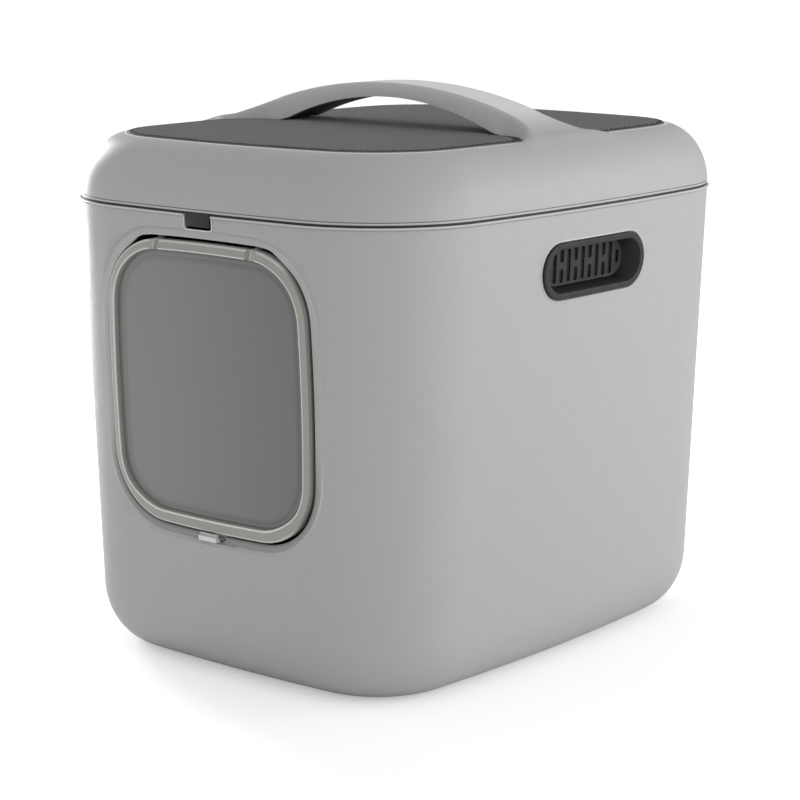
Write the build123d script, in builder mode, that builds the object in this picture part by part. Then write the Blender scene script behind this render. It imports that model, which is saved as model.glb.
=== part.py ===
from build123d import *
from math import asin, atan, cos, pi, radians, sin, sqrt, tan
import os

# Enclosed litter box: a deep tub with a swinging front flap, a lift-off lid with an arched
# carrying handle, a liner frame between the two, and a vented grip with a filter in each side.
# Millimetres, +Z up, front towards -Y, origin on the floor under the middle of the tub.

# ---- Overall sizes ----
overall_width = 499.0
overall_depth = 614.0
overall_height = 576.0
wall = 3.0
running_gap = 0.5
seat_gap = 0.3

# ---- Plan outline, shared by the tub, the liner frame and the lid ----
rim_bead = 2.0
corner_radius = 128.0
side_bow = 7.2
front_bow = 3.4
draft = 2.1

# ---- Tub ----
bead_height = 1.5
bead_flank = 2.0
edge_height = 65.0
edge_inset = 53.0

# ---- Liner frame ----
liner_thickness = 2.2
liner_setback = 1.2
liner_flange = 7.0
liner_wall = 2.0
liner_skirt = 8.5
liner_upstand = 4.5
tab_width = 30.4
tab_drop = 11.7
tab_thickness = 3.0
tab_proud = 0.7
tab_corner = 3.0
notch_gap = 2.3
notch_bead = 1.3
notch_bead_proud = 1.0

# ---- Lid ----
lid_height = 61.8
shoulder_inset = 42.0
shoulder_corner_loss = 0.5
lip_height = 2.8
lip_groove = 0.6
mat_half_width = 201.0
mat_half_depth = 264.4
mat_corner = 93.0
mat_side_bow = 4.5
mat_front_bow = 6.3
mat_recess = 2.5
mat_thickness = 4.6
mat_gap = 0.6
mat_edge_round = 1.2

# ---- Handle ----
handle_width = 56.0
handle_rise = 48.0
handle_reach = 200.0
handle_reach_rise = 5.0
handle_end = 216.0
handle_round = 6.0
handle_under_round = 1.5
grip_reach = 137.0
grip_reach_rise = 3.0
grip_rise = 32.0
foot_start = 150.0
foot_spread = 102.0
foot_curve = 2.6

# ---- Flap ----
flap_width = 265.0
flap_height = 287.0
flap_centre_drop = 169.8
flap_corner = 69.0
flap_side_bow = 1.6
flap_end_bow = 1.0
flap_depth = 10.0
flap_sunk = 3.5
flap_gap = 3.5
opening_corner_relief = 6.0
flap_round = 2.2
band = 12.8
band_lip = 4.5
lip_depth = 3.5
window_thickness = 2.5
collar_sunk = 2.5
collar_width = 5.5
collar_flank = 3.0

# ---- Flap hinge ----
hinge_spacing = 128.0
hinge_below_top = 4.5
hinge_behind_middle = 1.0
hinge_pin_radius = 1.5
hinge_pin_length = 20.0
pin_fit = 0.02
hinge_clearance = 0.05
ear_radius = 2.9
ear_width = 6.0
ear_arm = 3.0
ear_angle = 60.0
ear_reach = 16.0
ear_root_height = 11.0
ear_root_depth = 5.0
pocket_width = 8.0
pocket_front_wall = 2.7
ring_notch = 2.0
cap_width = 12.4
cap_depth = 1.5
cap_slot = 0.3

# ---- Latch ----
latch_width = 25.0
latch_tab_height = 8.5
latch_tab_below_flap = 0.7
latch_tab_thickness = 4.5
latch_tab_round = 1.0
latch_brow_height = 2.6
latch_brow_thickness = 3.0
latch_brow_slope = 0.8
latch_travel = 5.0
latch_clear = 0.5
latch_stem = 18.0
latch_web = 3.2
guide_width = 34.0
guide_height = 20.0
guide_thickness = 2.5
tongue_thickness = 2.5
tongue_height = 16.0
keeper_width = 52.0
keeper_height = 24.0
keeper_thickness = 2.5
screw_radius = 1.5
screw_grip = 4.0
screw_head_radius = 3.0
screw_head_height = 1.8

# ---- Side vents ----
vent_centre_drop = 58.8
vent_length = 172.4
vent_height = 56.2
vent_opening_length = 155.3
vent_opening_height = 42.9
vent_floor_length = 130.0
vent_floor_height = 38.0
vent_depth = 14.0
vent_wall = 2.0
vent_flange = 3.0
vent_proud = 1.4
vent_round = 1.2
slot_pitch = 11.8
slot_width = 6.0
long_slot = 34.0
short_slot = 13.7
slot_bridge = 5.8
filter_thickness = 8.0
filter_gap = 1.0
cover_wall = 2.0

# ---- Worked-out places ----
half_width = overall_width / 2 - rim_bead
half_depth = overall_depth / 2 - rim_bead
slope = tan(radians(draft))
lid_top = overall_height - handle_rise
lid_base = lid_top - lid_height
tub_height = lid_base - liner_thickness
flap_centre_z = tub_height - flap_centre_drop
vent_centre_z = tub_height - vent_centre_drop


def bowed_rectangle(half_x, half_y, corner, bow_x, bow_y):
    """Rounded rectangle whose four sides bulge outwards as long arcs, tangent to its corners."""
    centre_x = half_x - corner - bow_x
    centre_y = half_y - corner - bow_y
    long_x = (centre_y**2 + bow_x**2) / (2 * bow_x)
    long_y = (centre_x**2 + bow_y**2) / (2 * bow_y)
    angle_x = asin(centre_y / long_x)
    angle_y = asin(centre_x / long_y)
    side = (centre_x + corner * cos(angle_x), centre_y + corner * sin(angle_x))
    end = (centre_x + corner * sin(angle_y), centre_y + corner * cos(angle_y))
    middle = (centre_x + corner * cos(radians(45)), centre_y + corner * sin(radians(45)))
    with BuildSketch(mode=Mode.PRIVATE) as outline:
        with BuildLine():
            for sign in (1, -1):
                ThreePointArc((sign * side[0], -side[1]), (sign * half_x, 0), (sign * side[0], side[1]))
                ThreePointArc((-end[0], sign * end[1]), (0, sign * half_y), (end[0], sign * end[1]))
                for flip in (1, -1):
                    ThreePointArc(
                        (sign * side[0], flip * side[1]),
                        (sign * middle[0], flip * middle[1]),
                        (sign * end[0], flip * end[1]),
                    )
        make_face()
    return outline.sketch


def shell_outline(inset, corner_loss=1.0):
    """The tub's plan outline at the seam, drawn in by inset all round."""
    corner = corner_radius - inset * corner_loss
    return bowed_rectangle(half_width - inset, half_depth - inset, corner, side_bow, front_bow)


def tub_form(skin, top, floor):
    """Solid of the tub's outside moved in by skin: drafted walls over a quarter-ellipse edge."""
    with BuildPart(mode=Mode.PRIVATE) as form:
        edge_z = edge_height
        with BuildSketch(Plane.XY.offset(top)):
            add(shell_outline(skin + (tub_height - top) * slope))
        with BuildSketch(Plane.XY.offset(edge_z)):
            add(shell_outline(skin + (tub_height - edge_z) * slope))
        loft(ruled=True)
        for step in range(7):
            angle = radians(90 * step / 6)
            inset = (edge_inset - skin) * (1 - cos(angle)) + (tub_height - edge_z) * slope
            with BuildSketch(Plane.XY.offset(edge_z - (edge_z - floor) * sin(angle))):
                add(shell_outline(skin + inset))
        loft()
    return form.part


def lid_form(skin, base, top):
    """Solid of the lid's outside moved in by skin: a quarter-ellipse shoulder up to a flat top."""
    with BuildPart(mode=Mode.PRIVATE) as form:
        for step in range(9):
            angle = radians(90 * step / 8)
            inset = (shoulder_inset - skin) * (1 - cos(angle))
            with BuildSketch(Plane.XY.offset(base + (top - base) * sin(angle))):
                add(shell_outline(skin + inset, shoulder_corner_loss))
        loft()
    return form.part


def ruled_between(lower, lower_z, upper, upper_z):
    """Straight-sided solid from one outline to another above it."""
    with BuildPart(mode=Mode.PRIVATE) as form:
        with BuildSketch(Plane.XY.offset(lower_z)):
            add(lower)
        with BuildSketch(Plane.XY.offset(upper_z)):
            add(upper)
        loft(ruled=True)
    return form.part


def save(part, name):
    """Label a finished piece and write it to its own file."""
    part.label = name
    export_step(part, f"parts/{name}.step")


os.makedirs("parts", exist_ok=True)

# ---- Planes of the door and of the vents: both lie along the drafted walls ----
lean = radians(draft)
flap_crest_y = -(half_depth - (tub_height - flap_centre_z) * slope)
flap_front = Plane(
    origin=(0, flap_crest_y + flap_sunk, flap_centre_z),
    x_dir=(1, 0, 0),
    z_dir=(0, -cos(lean), -sin(lean)),
)
collar_face = flap_front.offset(-collar_sunk)
collar_back = collar_face.offset(-wall)
vent_face_x = half_width - (tub_height - vent_centre_z) * slope
vent_faces = {
    "right": Plane(origin=(vent_face_x, 0, vent_centre_z), x_dir=(0, 1, 0), z_dir=(cos(lean), 0, -sin(lean))),
    "left": Plane(origin=(-vent_face_x, 0, vent_centre_z), x_dir=(0, -1, 0), z_dir=(-cos(lean), 0, -sin(lean))),
}
hinge_up = flap_height / 2 - hinge_below_top
hinge_in = -(flap_depth / 2 + hinge_behind_middle)
hinge_places = {"left": -hinge_spacing / 2, "right": hinge_spacing / 2}
opening_edge = flap_height / 2 + flap_gap
collar_edge = flap_gap + collar_width
door_depth = flap_sunk + collar_sunk


def flap_outline(inset, corner_relief=0.0):
    """Outline of the flap drawn in by inset; relief leaves room at the corners for it to swing."""
    corner = flap_corner - inset - corner_relief
    return bowed_rectangle(flap_width / 2 - inset, flap_height / 2 - inset, corner, flap_side_bow, flap_end_bow)


def hinge_plane(x):
    """Plane across the hinge axis at x: its own X points out of the wall and its Y points up."""
    centre = flap_front.from_local_coords((x, hinge_up, hinge_in))
    return Plane(origin=centre, x_dir=flap_front.z_dir, z_dir=(-1, 0, 0))


def door_section(x):
    """Plane across the door at x: its own X is the depth out of the flap's front and its Y is the height up it."""
    return Plane(origin=flap_front.from_local_coords((x, 0, 0)), x_dir=flap_front.z_dir, z_dir=(-1, 0, 0))


def door_box(width, bottom, top, back, front, middle=0.0):
    """Box set in the door's own frame: widths across, heights along the wall, depths out of it."""
    with BuildPart(flap_front.offset(back), mode=Mode.PRIVATE) as block:
        with Locations((middle, (bottom + top) / 2, (front - back) / 2)):
            Box(width, top - bottom, front - back)
    return block.part


def slot_rows(plane, depth):
    """Grille cutter: long slots with split pairs between them, and one short slot at each end."""
    with BuildPart(mode=Mode.PRIVATE) as cutters:
        with BuildSketch(plane):
            for column in range(-5, 6):
                if abs(column) == 5:
                    with Locations((column * slot_pitch, 0)):
                        SlotOverall(short_slot, slot_width, rotation=90)
                elif column % 2 == 0:
                    with Locations((column * slot_pitch, 0)):
                        SlotOverall(long_slot, slot_width, rotation=90)
                else:
                    with GridLocations(1, short_slot + slot_bridge, 1, 2):
                        with Locations((column * slot_pitch, 0)):
                            SlotOverall(short_slot, slot_width, rotation=90)
        extrude(amount=-depth)
    return cutters.part


# ---- Latch heights and depths, measured in the door's own frame ----
flap_bottom = -flap_height / 2
tab_top = flap_bottom - latch_tab_below_flap
tab_bottom = tab_top - latch_tab_height
tab_front = latch_clear + latch_tab_thickness
web_top = flap_bottom - latch_travel - latch_clear
web_bottom = web_top - latch_web
guide_front = -collar_sunk - wall - seat_gap
guide_back = guide_front - guide_thickness
tongue_front = -flap_depth - latch_clear
tongue_back = tongue_front - tongue_thickness
tongue_bottom = tab_top - tongue_height
keeper_front = guide_back - seat_gap
keeper_back = keeper_front - keeper_thickness
keeper_top = web_top - latch_clear
keeper_bottom = keeper_top - keeper_height
rail_inner = guide_width / 2 + seat_gap
screw_across = (rail_inner + keeper_width / 2) / 2
screw_up = keeper_bottom + 2 * screw_head_radius

# ---- Tub: drafted walls, sunk door field, vent holes, notched rim, hinge ears ----
with BuildPart() as tub_cavity:
    add(tub_form(wall, tub_height, wall))
    # The wall stays full behind the sunk door field and behind the latch
    with BuildSketch(collar_back):
        add(flap_outline(-(collar_edge + collar_flank + wall)))
    extrude(amount=door_depth + 2 * wall, mode=Mode.SUBTRACT)
    latch_pad = door_box(
        keeper_width + 2 * wall, keeper_bottom - wall, -opening_edge, -collar_sunk - wall, flap_sunk + wall
    )
    add(latch_pad, mode=Mode.SUBTRACT)

notch_width = tab_width + 2 * notch_gap
notch_floor = tub_height - tab_drop - notch_gap
notch_plane = Plane.XZ.offset(half_depth + notch_bead_proud)

with BuildPart() as body_shell:
    add(tub_form(0, tub_height, 0))
    # Rim bead with a sloping underside
    with BuildSketch(Plane.XY.offset(tub_height - bead_height)):
        add(shell_outline(-rim_bead))
    extrude(amount=bead_height)
    bead_base = tub_height - bead_height - bead_flank
    add(
        ruled_between(
            shell_outline((bead_height + bead_flank) * slope),
            bead_base,
            shell_outline(-rim_bead),
            tub_height - bead_height,
        )
    )
    # Bead round the notch for the liner tab
    with BuildSketch(notch_plane):
        with Locations((0, (tub_height + notch_floor - notch_bead) / 2)):
            RectangleRounded(
                notch_width + 2 * notch_bead, tub_height - notch_floor + notch_bead, tab_corner + notch_bead
            )
        with Locations((0, tub_height - tab_corner)):
            Rectangle(notch_width + 2 * notch_bead, 2 * tab_corner)
    extrude(amount=-(notch_bead_proud + wall))
    # Sunk door field: a flat collar with a sloping flank up to the bowed wall
    with BuildSketch(collar_face):
        add(flap_outline(-collar_edge))
    flank_angle = 90 - atan(door_depth / collar_flank) * 180 / pi
    extrude(amount=door_depth + wall, taper=-flank_angle, mode=Mode.SUBTRACT)
    with BuildSketch(collar_face):
        add(flap_outline(-collar_edge))
    extrude(amount=-wall)
    add(tub_cavity.part, mode=Mode.SUBTRACT)
    # Opening for the flap, and below it the notch for the latch stem
    with BuildSketch(collar_face.offset(flap_sunk)):
        add(flap_outline(-flap_gap, opening_corner_relief))
    extrude(amount=-(flap_sunk + 4 * wall), mode=Mode.SUBTRACT)
    latch_notch = door_box(
        latch_stem + 2 * latch_clear, web_bottom - latch_clear, -opening_edge + wall, -4 * wall, flap_sunk
    )
    add(latch_notch, mode=Mode.SUBTRACT)
    # Pilot holes for the keeper's screws
    with BuildSketch(collar_back):
        with Locations((-screw_across, screw_up), (screw_across, screw_up)):
            Circle(screw_radius + pin_fit)
    extrude(amount=screw_grip + seat_gap, mode=Mode.SUBTRACT)
    # Notch in the rim for the liner tab
    with BuildSketch(notch_plane.offset(wall)):
        with Locations((0, (tub_height + notch_floor) / 2)):
            RectangleRounded(notch_width, tub_height - notch_floor, tab_corner)
        with Locations((0, tub_height)):
            Rectangle(notch_width, 2 * tab_corner)
    extrude(amount=-4 * wall, mode=Mode.SUBTRACT)
    # Flat seat and hole for each vent
    for face in vent_faces.values():
        with BuildSketch(face.offset(vent_proud - vent_flange)):
            SlotOverall(vent_length + 2 * seat_gap, vent_height + 2 * seat_gap)
        extrude(amount=2 * wall, mode=Mode.SUBTRACT)
        with BuildSketch(face.offset(2 * wall)):
            SlotOverall(
                vent_opening_length + 2 * vent_wall + 2 * running_gap,
                vent_opening_height + 2 * vent_wall + 2 * running_gap,
            )
        extrude(amount=-5 * wall, mode=Mode.SUBTRACT)
    # Hinge ears hooked over the flap from behind the collar
    ear_front = -(collar_sunk + wall + hinge_in)
    ear_foot = hinge_below_top + flap_gap + seat_gap
    ear_top = ear_foot + ear_root_height
    for x in hinge_places.values():
        with BuildSketch(hinge_plane(x + ear_width / 2)):
            Circle(ear_radius)
            with BuildLine():
                Polyline(
                    (ear_front, ear_foot),
                    (ear_front, ear_top),
                    (ear_front - ear_root_depth, ear_top),
                    (-ear_reach, ear_foot + ear_arm),
                    (-ear_reach, ear_foot),
                    close=True,
                )
            make_face()
            with Locations(Rotation(0, 0, 90 + ear_angle)):
                with Locations((ear_reach / 2, 0)):
                    Rectangle(ear_reach, ear_arm)
        extrude(amount=ear_width)
        with BuildSketch(hinge_plane(x + ear_width)):
            Circle(hinge_pin_radius + hinge_clearance)
        extrude(amount=2 * ear_width, mode=Mode.SUBTRACT)
save(body_shell.part, "body_shell")

# ---- Liner frame: clamps a waste bag between tub and lid, with a tab to lift it by ----
with BuildPart() as liner_frame:
    with BuildSketch(Plane.XY.offset(tub_height)):
        add(shell_outline(liner_setback))
        add(shell_outline(liner_setback + liner_flange), mode=Mode.SUBTRACT)
    extrude(amount=liner_thickness)
    skirt_inset = wall + running_gap
    skirt_lean = liner_skirt * slope
    for inset, mode in ((skirt_inset, Mode.ADD), (skirt_inset + liner_wall, Mode.SUBTRACT)):
        wedge = ruled_between(
            shell_outline(inset + skirt_lean), tub_height - liner_skirt, shell_outline(inset), tub_height
        )
        add(wedge, mode=mode)
    upstand_inset = wall + running_gap + seat_gap
    with BuildSketch(Plane.XY.offset(lid_base)):
        add(shell_outline(upstand_inset))
        add(shell_outline(upstand_inset + liner_wall), mode=Mode.SUBTRACT)
    extrude(amount=liner_upstand)
    with BuildSketch(Plane.XZ.offset(half_depth + tab_proud)):
        with Locations((0, tub_height - tab_drop / 2)):
            RectangleRounded(tab_width, tab_drop, tab_corner)
        with Locations((0, tub_height - tab_corner / 2 + liner_thickness / 2)):
            Rectangle(tab_width, tab_corner + liner_thickness)
    extrude(amount=-tab_thickness)
save(liner_frame.part, "liner_frame")

# ---- Handle: one arch from side to side whose feet spread into the lid's border ----
recess_floor = lid_top - mat_recess
arch_drop = handle_rise - handle_reach_rise
arch_radius = (handle_reach**2 + arch_drop**2) / (2 * arch_drop)
grip_drop = grip_rise - grip_reach_rise
grip_radius = (grip_reach**2 + grip_drop**2) / (2 * grip_drop)
grip_centre_z = lid_top + grip_rise - grip_radius


def foot_half_width(x):
    """Half width of the handle at the mat's bed: the feet spread in a smooth curve past foot_start."""
    flare = max(0.0, (abs(x) - foot_start) / (handle_end - foot_start))
    return handle_width / 2 + (foot_spread - handle_width / 2) * flare**foot_curve


def handle_section(x):
    """Section across the handle at x: an upright strip whose sides spread into the lid past foot_start."""
    top = overall_height - arch_radius + sqrt(arch_radius**2 - x**2)
    bottom = recess_floor - wall / 2
    flare = max(0.0, (abs(x) - foot_start) / (handle_end - foot_start))
    base = foot_half_width(x)
    flat = handle_width / 2 - handle_round
    low_out = base - flare * (base - flat) / 2
    low_up = top - handle_round * (1 - flare) / 2 - flare * (top - bottom) * 0.95
    high_out = flat + handle_round * (1 - flare) + flare * (base - flat) * 0.4
    with BuildSketch(mode=Mode.PRIVATE) as section:
        with BuildLine():
            Bezier((base, bottom), (low_out, low_up), (high_out, top), (flat, top))
            Line((flat, top), (-flat, top))
            Bezier((-flat, top), (-high_out, top), (-low_out, low_up), (-base, bottom))
            Line((-base, bottom), (base, bottom))
        make_face()
    return section.sketch


def handle_form():
    """The whole arched handle; its underside is a flatter arc."""
    with BuildPart(mode=Mode.PRIVATE) as form:
        for step in range(5):
            x = foot_start + (handle_end - foot_start) * step / 4
            with BuildSketch(Plane.YZ.offset(x)):
                add(handle_section(x))
        loft()
        mirror(about=Plane.YZ)
        for step in range(5):
            x = foot_start * (step - 2) / 2
            with BuildSketch(Plane.YZ.offset(x)):
                add(handle_section(x))
        loft()
        with BuildSketch(Plane.XZ.offset(handle_width)):
            with Locations((0, grip_centre_z)):
                Circle(grip_radius)
        extrude(amount=-2 * handle_width, mode=Mode.SUBTRACT)
        grip = form.faces().filter_by(GeomType.CYLINDER)
        long_edges = [edge for edge in grip[0].edges() if edge.length > grip_reach]
        fillet(long_edges, handle_under_round)
    return form.part


def foot_outline(gap):
    """Plan outline of one foot at the mat's bed, with a gap round it."""
    inner = sqrt((grip_radius - gap) ** 2 - (recess_floor + mat_thickness - grip_centre_z) ** 2) - gap
    steps = [foot_start + (handle_end - foot_start) * step / 4 for step in range(5)]
    curve = [(x, foot_half_width(x) + gap) for x in steps]
    start = foot_half_width(foot_start) + gap
    with BuildSketch(mode=Mode.PRIVATE) as outline:
        with BuildLine():
            Spline(*curve, tangents=((1, 0), (curve[-1][0] - curve[-2][0], curve[-1][1] - curve[-2][1])))
            Line(curve[0], (inner, start))
            mirror(about=Plane.XZ)
            Line((inner, start), (inner, -start))
            Line(curve[-1], (curve[-1][0], -curve[-1][1]))
        make_face()
    return outline.sketch


def mat_outline(inset):
    """Outline of the mat's bed in the lid, drawn in by inset."""
    return bowed_rectangle(
        mat_half_width - inset, mat_half_depth - inset, mat_corner - inset, mat_side_bow, mat_front_bow
    )


# ---- Lid: rounded shoulder, bed for the mat, handle moulded on ----
with BuildPart() as lid_shell:
    add(lid_form(0, lid_base, lid_top))
    with BuildSketch(Plane.XY.offset(recess_floor)):
        add(mat_outline(0))
    extrude(amount=2 * mat_recess, mode=Mode.SUBTRACT)
    add(handle_form())
    add(lid_form(wall, lid_base, recess_floor - wall), mode=Mode.SUBTRACT)
    with BuildSketch(Plane.XY.offset(lid_base + lip_height)):
        add(shell_outline(-rim_bead))
        add(shell_outline(lip_groove), mode=Mode.SUBTRACT)
    extrude(amount=lip_groove, mode=Mode.SUBTRACT)
save(lid_shell.part, "lid_shell")

# ---- Mat: nubby soft sheet laid in the bed, cut out round the handle's feet ----
with BuildPart() as lid_mat:
    with BuildSketch(Plane.XY.offset(recess_floor)):
        add(mat_outline(mat_gap))
    extrude(amount=mat_thickness)
    fillet(lid_mat.faces().sort_by(Axis.Z)[-1].edges(), mat_edge_round)
    with BuildSketch(Plane.XY.offset(recess_floor - mat_gap)):
        add(foot_outline(mat_gap))
        mirror(about=Plane.YZ)
    extrude(amount=2 * mat_thickness, mode=Mode.SUBTRACT)
save(lid_mat.part, "lid_mat")

# ---- Flap frame: rounded band with a lip for the pane, hinge pockets and cap seats ----
with BuildPart() as flap_blank:
    with BuildSketch(flap_front):
        add(flap_outline(0))
        add(flap_outline(band), mode=Mode.SUBTRACT)
    extrude(amount=-flap_depth)
    front = flap_blank.faces().sort_by(Axis(flap_front.origin, flap_front.z_dir))[-1]
    fillet(front.outer_wire().edges(), flap_round)

rebate = band - band_lip
with BuildPart() as cap_seats:
    for x in hinge_places.values():
        add(door_box(cap_width + 2 * cap_slot, 0, flap_height / 2 + wall, -cap_depth, wall, x))

with BuildPart() as flap_frame:
    add(flap_blank.part)
    with BuildSketch(flap_front.offset(-lip_depth)):
        add(flap_outline(rebate))
    extrude(amount=-flap_depth, mode=Mode.SUBTRACT)
    add(cap_seats.part, mode=Mode.SUBTRACT)
    for side, x in hinge_places.items():
        pocket = door_box(
            pocket_width, flap_height / 2 - rebate - wall, opening_edge, -flap_depth - wall, -pocket_front_wall, x
        )
        add(pocket, mode=Mode.SUBTRACT)
        outwards = 1 if x > 0 else -1
        with BuildSketch(hinge_plane(x - outwards * hinge_pin_length / 2)):
            Circle(hinge_pin_radius + pin_fit)
        extrude(amount=-outwards * flap_corner, mode=Mode.SUBTRACT)
save(flap_frame.part, "flap_frame")

# ---- Hinge caps: small covers let into the band in front of the pins ----
for side, x in hinge_places.items():
    with BuildPart() as hinge_cap:
        add(flap_blank.part)
        add(door_box(cap_width, 0, opening_edge, -cap_depth, wall, x), mode=Mode.INTERSECT)
    save(hinge_cap.part, f"hinge_cap_{side}")
    with BuildPart() as hinge_pin:
        with BuildSketch(hinge_plane(x + hinge_pin_length / 2)):
            Circle(hinge_pin_radius)
        extrude(amount=hinge_pin_length)
    save(hinge_pin.part, f"hinge_pin_{side}")

# ---- Flap pane and the ring that clamps it ----
with BuildPart() as flap_window:
    with BuildSketch(flap_front.offset(-lip_depth)):
        add(flap_outline(rebate + seat_gap))
    extrude(amount=-window_thickness)
save(flap_window.part, "flap_window")

with BuildPart() as flap_rear_ring:
    with BuildSketch(flap_front.offset(-lip_depth - window_thickness)):
        add(flap_outline(rebate + seat_gap))
        add(flap_outline(band), mode=Mode.SUBTRACT)
    extrude(amount=-(flap_depth - lip_depth - window_thickness))
    for x in hinge_places.values():
        notch_up = flap_height / 2 - rebate - ring_notch
        add(door_box(pocket_width, notch_up, opening_edge, -flap_depth - wall, 0, x), mode=Mode.SUBTRACT)
save(flap_rear_ring.part, "flap_rear_ring")

# ---- Latch: a tab outside and a tongue inside, joined by a stem and slid upwards to lock ----
with BuildPart() as latch_slider:
    # The tab's thumb face stands proud of a thinner brow under the flap
    with BuildSketch(door_section(latch_width / 2)):
        with BuildLine():
            Polyline(
                (latch_clear, tab_bottom),
                (latch_clear, tab_top),
                (latch_brow_thickness, tab_top),
                (latch_brow_thickness, tab_top - latch_brow_height),
                (tab_front, tab_top - latch_brow_height - latch_brow_slope),
                (tab_front, tab_bottom),
                close=True,
            )
        make_face()
    extrude(amount=latch_width)
    outer_edges = latch_slider.edges().filter_by(Axis.X).sort_by(Axis(flap_front.origin, flap_front.z_dir))
    fillet(outer_edges[-2:], latch_tab_round)
    add(door_box(latch_stem, web_bottom, web_top, guide_back, latch_clear + latch_tab_round))
    add(door_box(guide_width, web_top - guide_height, web_top, guide_back, guide_front))
    add(door_box(latch_stem, tongue_bottom, web_top - latch_clear, tongue_back, guide_back))
    add(door_box(latch_stem, tongue_bottom, tab_top, tongue_back, tongue_front))
save(latch_slider.part, "latch_slider")

with BuildPart() as latch_keeper:
    add(door_box(keeper_width, keeper_bottom, keeper_top, keeper_back, guide_front + seat_gap))
    guide_room = door_box(2 * rail_inner, keeper_bottom, keeper_top, keeper_front, guide_front + wall)
    add(guide_room, mode=Mode.SUBTRACT)
    tongue_room = door_box(
        latch_stem + 2 * latch_clear, tongue_bottom - latch_clear, keeper_top, keeper_back - wall, keeper_front
    )
    add(tongue_room, mode=Mode.SUBTRACT)
    with BuildSketch(flap_front.offset(keeper_back)):
        with Locations((-screw_across, screw_up), (screw_across, screw_up)):
            Circle(screw_radius + pin_fit)
    extrude(amount=2 * keeper_thickness + guide_thickness, mode=Mode.SUBTRACT)
save(latch_keeper.part, "latch_keeper")

with BuildPart() as latch_screws:
    with BuildSketch(collar_back.offset(screw_grip)):
        with Locations((-screw_across, screw_up), (screw_across, screw_up)):
            Circle(screw_radius)
    extrude(amount=-(screw_grip - collar_sunk - wall - keeper_back))
    with BuildSketch(flap_front.offset(keeper_back)):
        with Locations((-screw_across, screw_up), (screw_across, screw_up)):
            Circle(screw_head_radius)
    extrude(amount=-screw_head_height)
save(latch_screws.part, "latch_screws")

# ---- Side vents: slotted grip cups, with filter pads in clip-on trays behind them ----
cup_back = vent_proud - vent_depth
pad_length = vent_floor_length - 2 * filter_gap
pad_height = vent_floor_height - 2 * filter_gap
pad_front = cup_back - vent_wall - seat_gap
cover_back = pad_front - filter_thickness - seat_gap
for side, face in vent_faces.items():
    with BuildPart() as vent_insert:
        with BuildSketch(face.offset(vent_proud)):
            SlotOverall(vent_length, vent_height)
        extrude(amount=-vent_flange)
        fillet(vent_insert.faces().sort_by(Axis(face.origin, face.z_dir))[-1].edges(), vent_round)
        with BuildSketch(face.offset(vent_proud - vent_flange)):
            SlotOverall(vent_opening_length + 2 * vent_wall, vent_opening_height + 2 * vent_wall)
        with BuildSketch(face.offset(cup_back - vent_wall)):
            SlotOverall(vent_floor_length + 2 * vent_wall, vent_floor_height + 2 * vent_wall)
        loft(ruled=True)
        with BuildSketch(face.offset(vent_proud)):
            SlotOverall(vent_opening_length, vent_opening_height)
        with BuildSketch(face.offset(cup_back)):
            SlotOverall(vent_floor_length, vent_floor_height)
        loft(ruled=True, mode=Mode.SUBTRACT)
        add(slot_rows(face.offset(cup_back + wall), 2 * wall + vent_wall), mode=Mode.SUBTRACT)
    save(vent_insert.part, f"vent_insert_{side}")
    with BuildPart() as filter_pad:
        with BuildSketch(face.offset(pad_front)):
            SlotOverall(pad_length, pad_height)
        extrude(amount=-filter_thickness)
    save(filter_pad.part, f"filter_pad_{side}")
    with BuildPart() as filter_cover:
        with BuildSketch(face.offset(cup_back - vent_wall)):
            SlotOverall(vent_floor_length + 2 * cover_wall, vent_floor_height + 2 * cover_wall)
        extrude(amount=cover_back - cover_wall - cup_back + vent_wall)
        with BuildSketch(face.offset(cup_back - vent_wall)):
            SlotOverall(vent_floor_length, vent_floor_height)
        extrude(amount=cover_back - cup_back + vent_wall, mode=Mode.SUBTRACT)
        add(slot_rows(face.offset(cover_back + wall), 2 * wall + cover_wall), mode=Mode.SUBTRACT)
    save(filter_cover.part, f"filter_cover_{side}")
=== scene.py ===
from math import cos, pi, radians, sin, sqrt, tan

import bmesh
import bpy
import numpy as np
from mathutils import Matrix, Vector


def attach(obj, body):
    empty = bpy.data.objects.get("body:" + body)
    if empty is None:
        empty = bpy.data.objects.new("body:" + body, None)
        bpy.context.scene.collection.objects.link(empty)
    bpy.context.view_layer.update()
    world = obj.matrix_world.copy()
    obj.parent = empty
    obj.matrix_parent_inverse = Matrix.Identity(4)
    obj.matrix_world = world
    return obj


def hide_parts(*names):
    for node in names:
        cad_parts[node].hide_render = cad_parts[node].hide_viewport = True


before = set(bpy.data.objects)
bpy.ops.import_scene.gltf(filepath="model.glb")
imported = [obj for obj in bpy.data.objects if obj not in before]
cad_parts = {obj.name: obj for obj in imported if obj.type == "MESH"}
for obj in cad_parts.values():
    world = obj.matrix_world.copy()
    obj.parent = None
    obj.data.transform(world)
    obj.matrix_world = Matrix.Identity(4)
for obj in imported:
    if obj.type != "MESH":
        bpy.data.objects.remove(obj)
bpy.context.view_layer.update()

# Enclosed litter box in millimetres: +Z up, the flap faces -Y. Every size repeats one of the solid model's.
MM = 0.001

# ---- Sizes ----
# Tub and lid: plan outline, draft, heights, wall, rounded bottom edge, shoulder, the rim's notch and the mat's bed.
HALF_WIDTH, HALF_DEPTH, CORNER, SIDE_BOW, FRONT_BOW = 247.5, 305.0, 128.0, 7.2, 3.4
LEAN = radians(2.1)
SLOPE = tan(LEAN)
TUB_TOP, LID_BASE, LID_TOP, TOP = 464.0, 466.2, 528.0, 576.0
WALL = 3.0
EDGE_HEIGHT, EDGE_INSET = 65.0, 53.0
SHOULDER = 42.0
NOTCH_HALF, NOTCH_LOW = 17.5, 450.0
BED_FLOOR, MAT_TOP, MAT_GAP = 525.5, 530.1, 0.6
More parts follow.
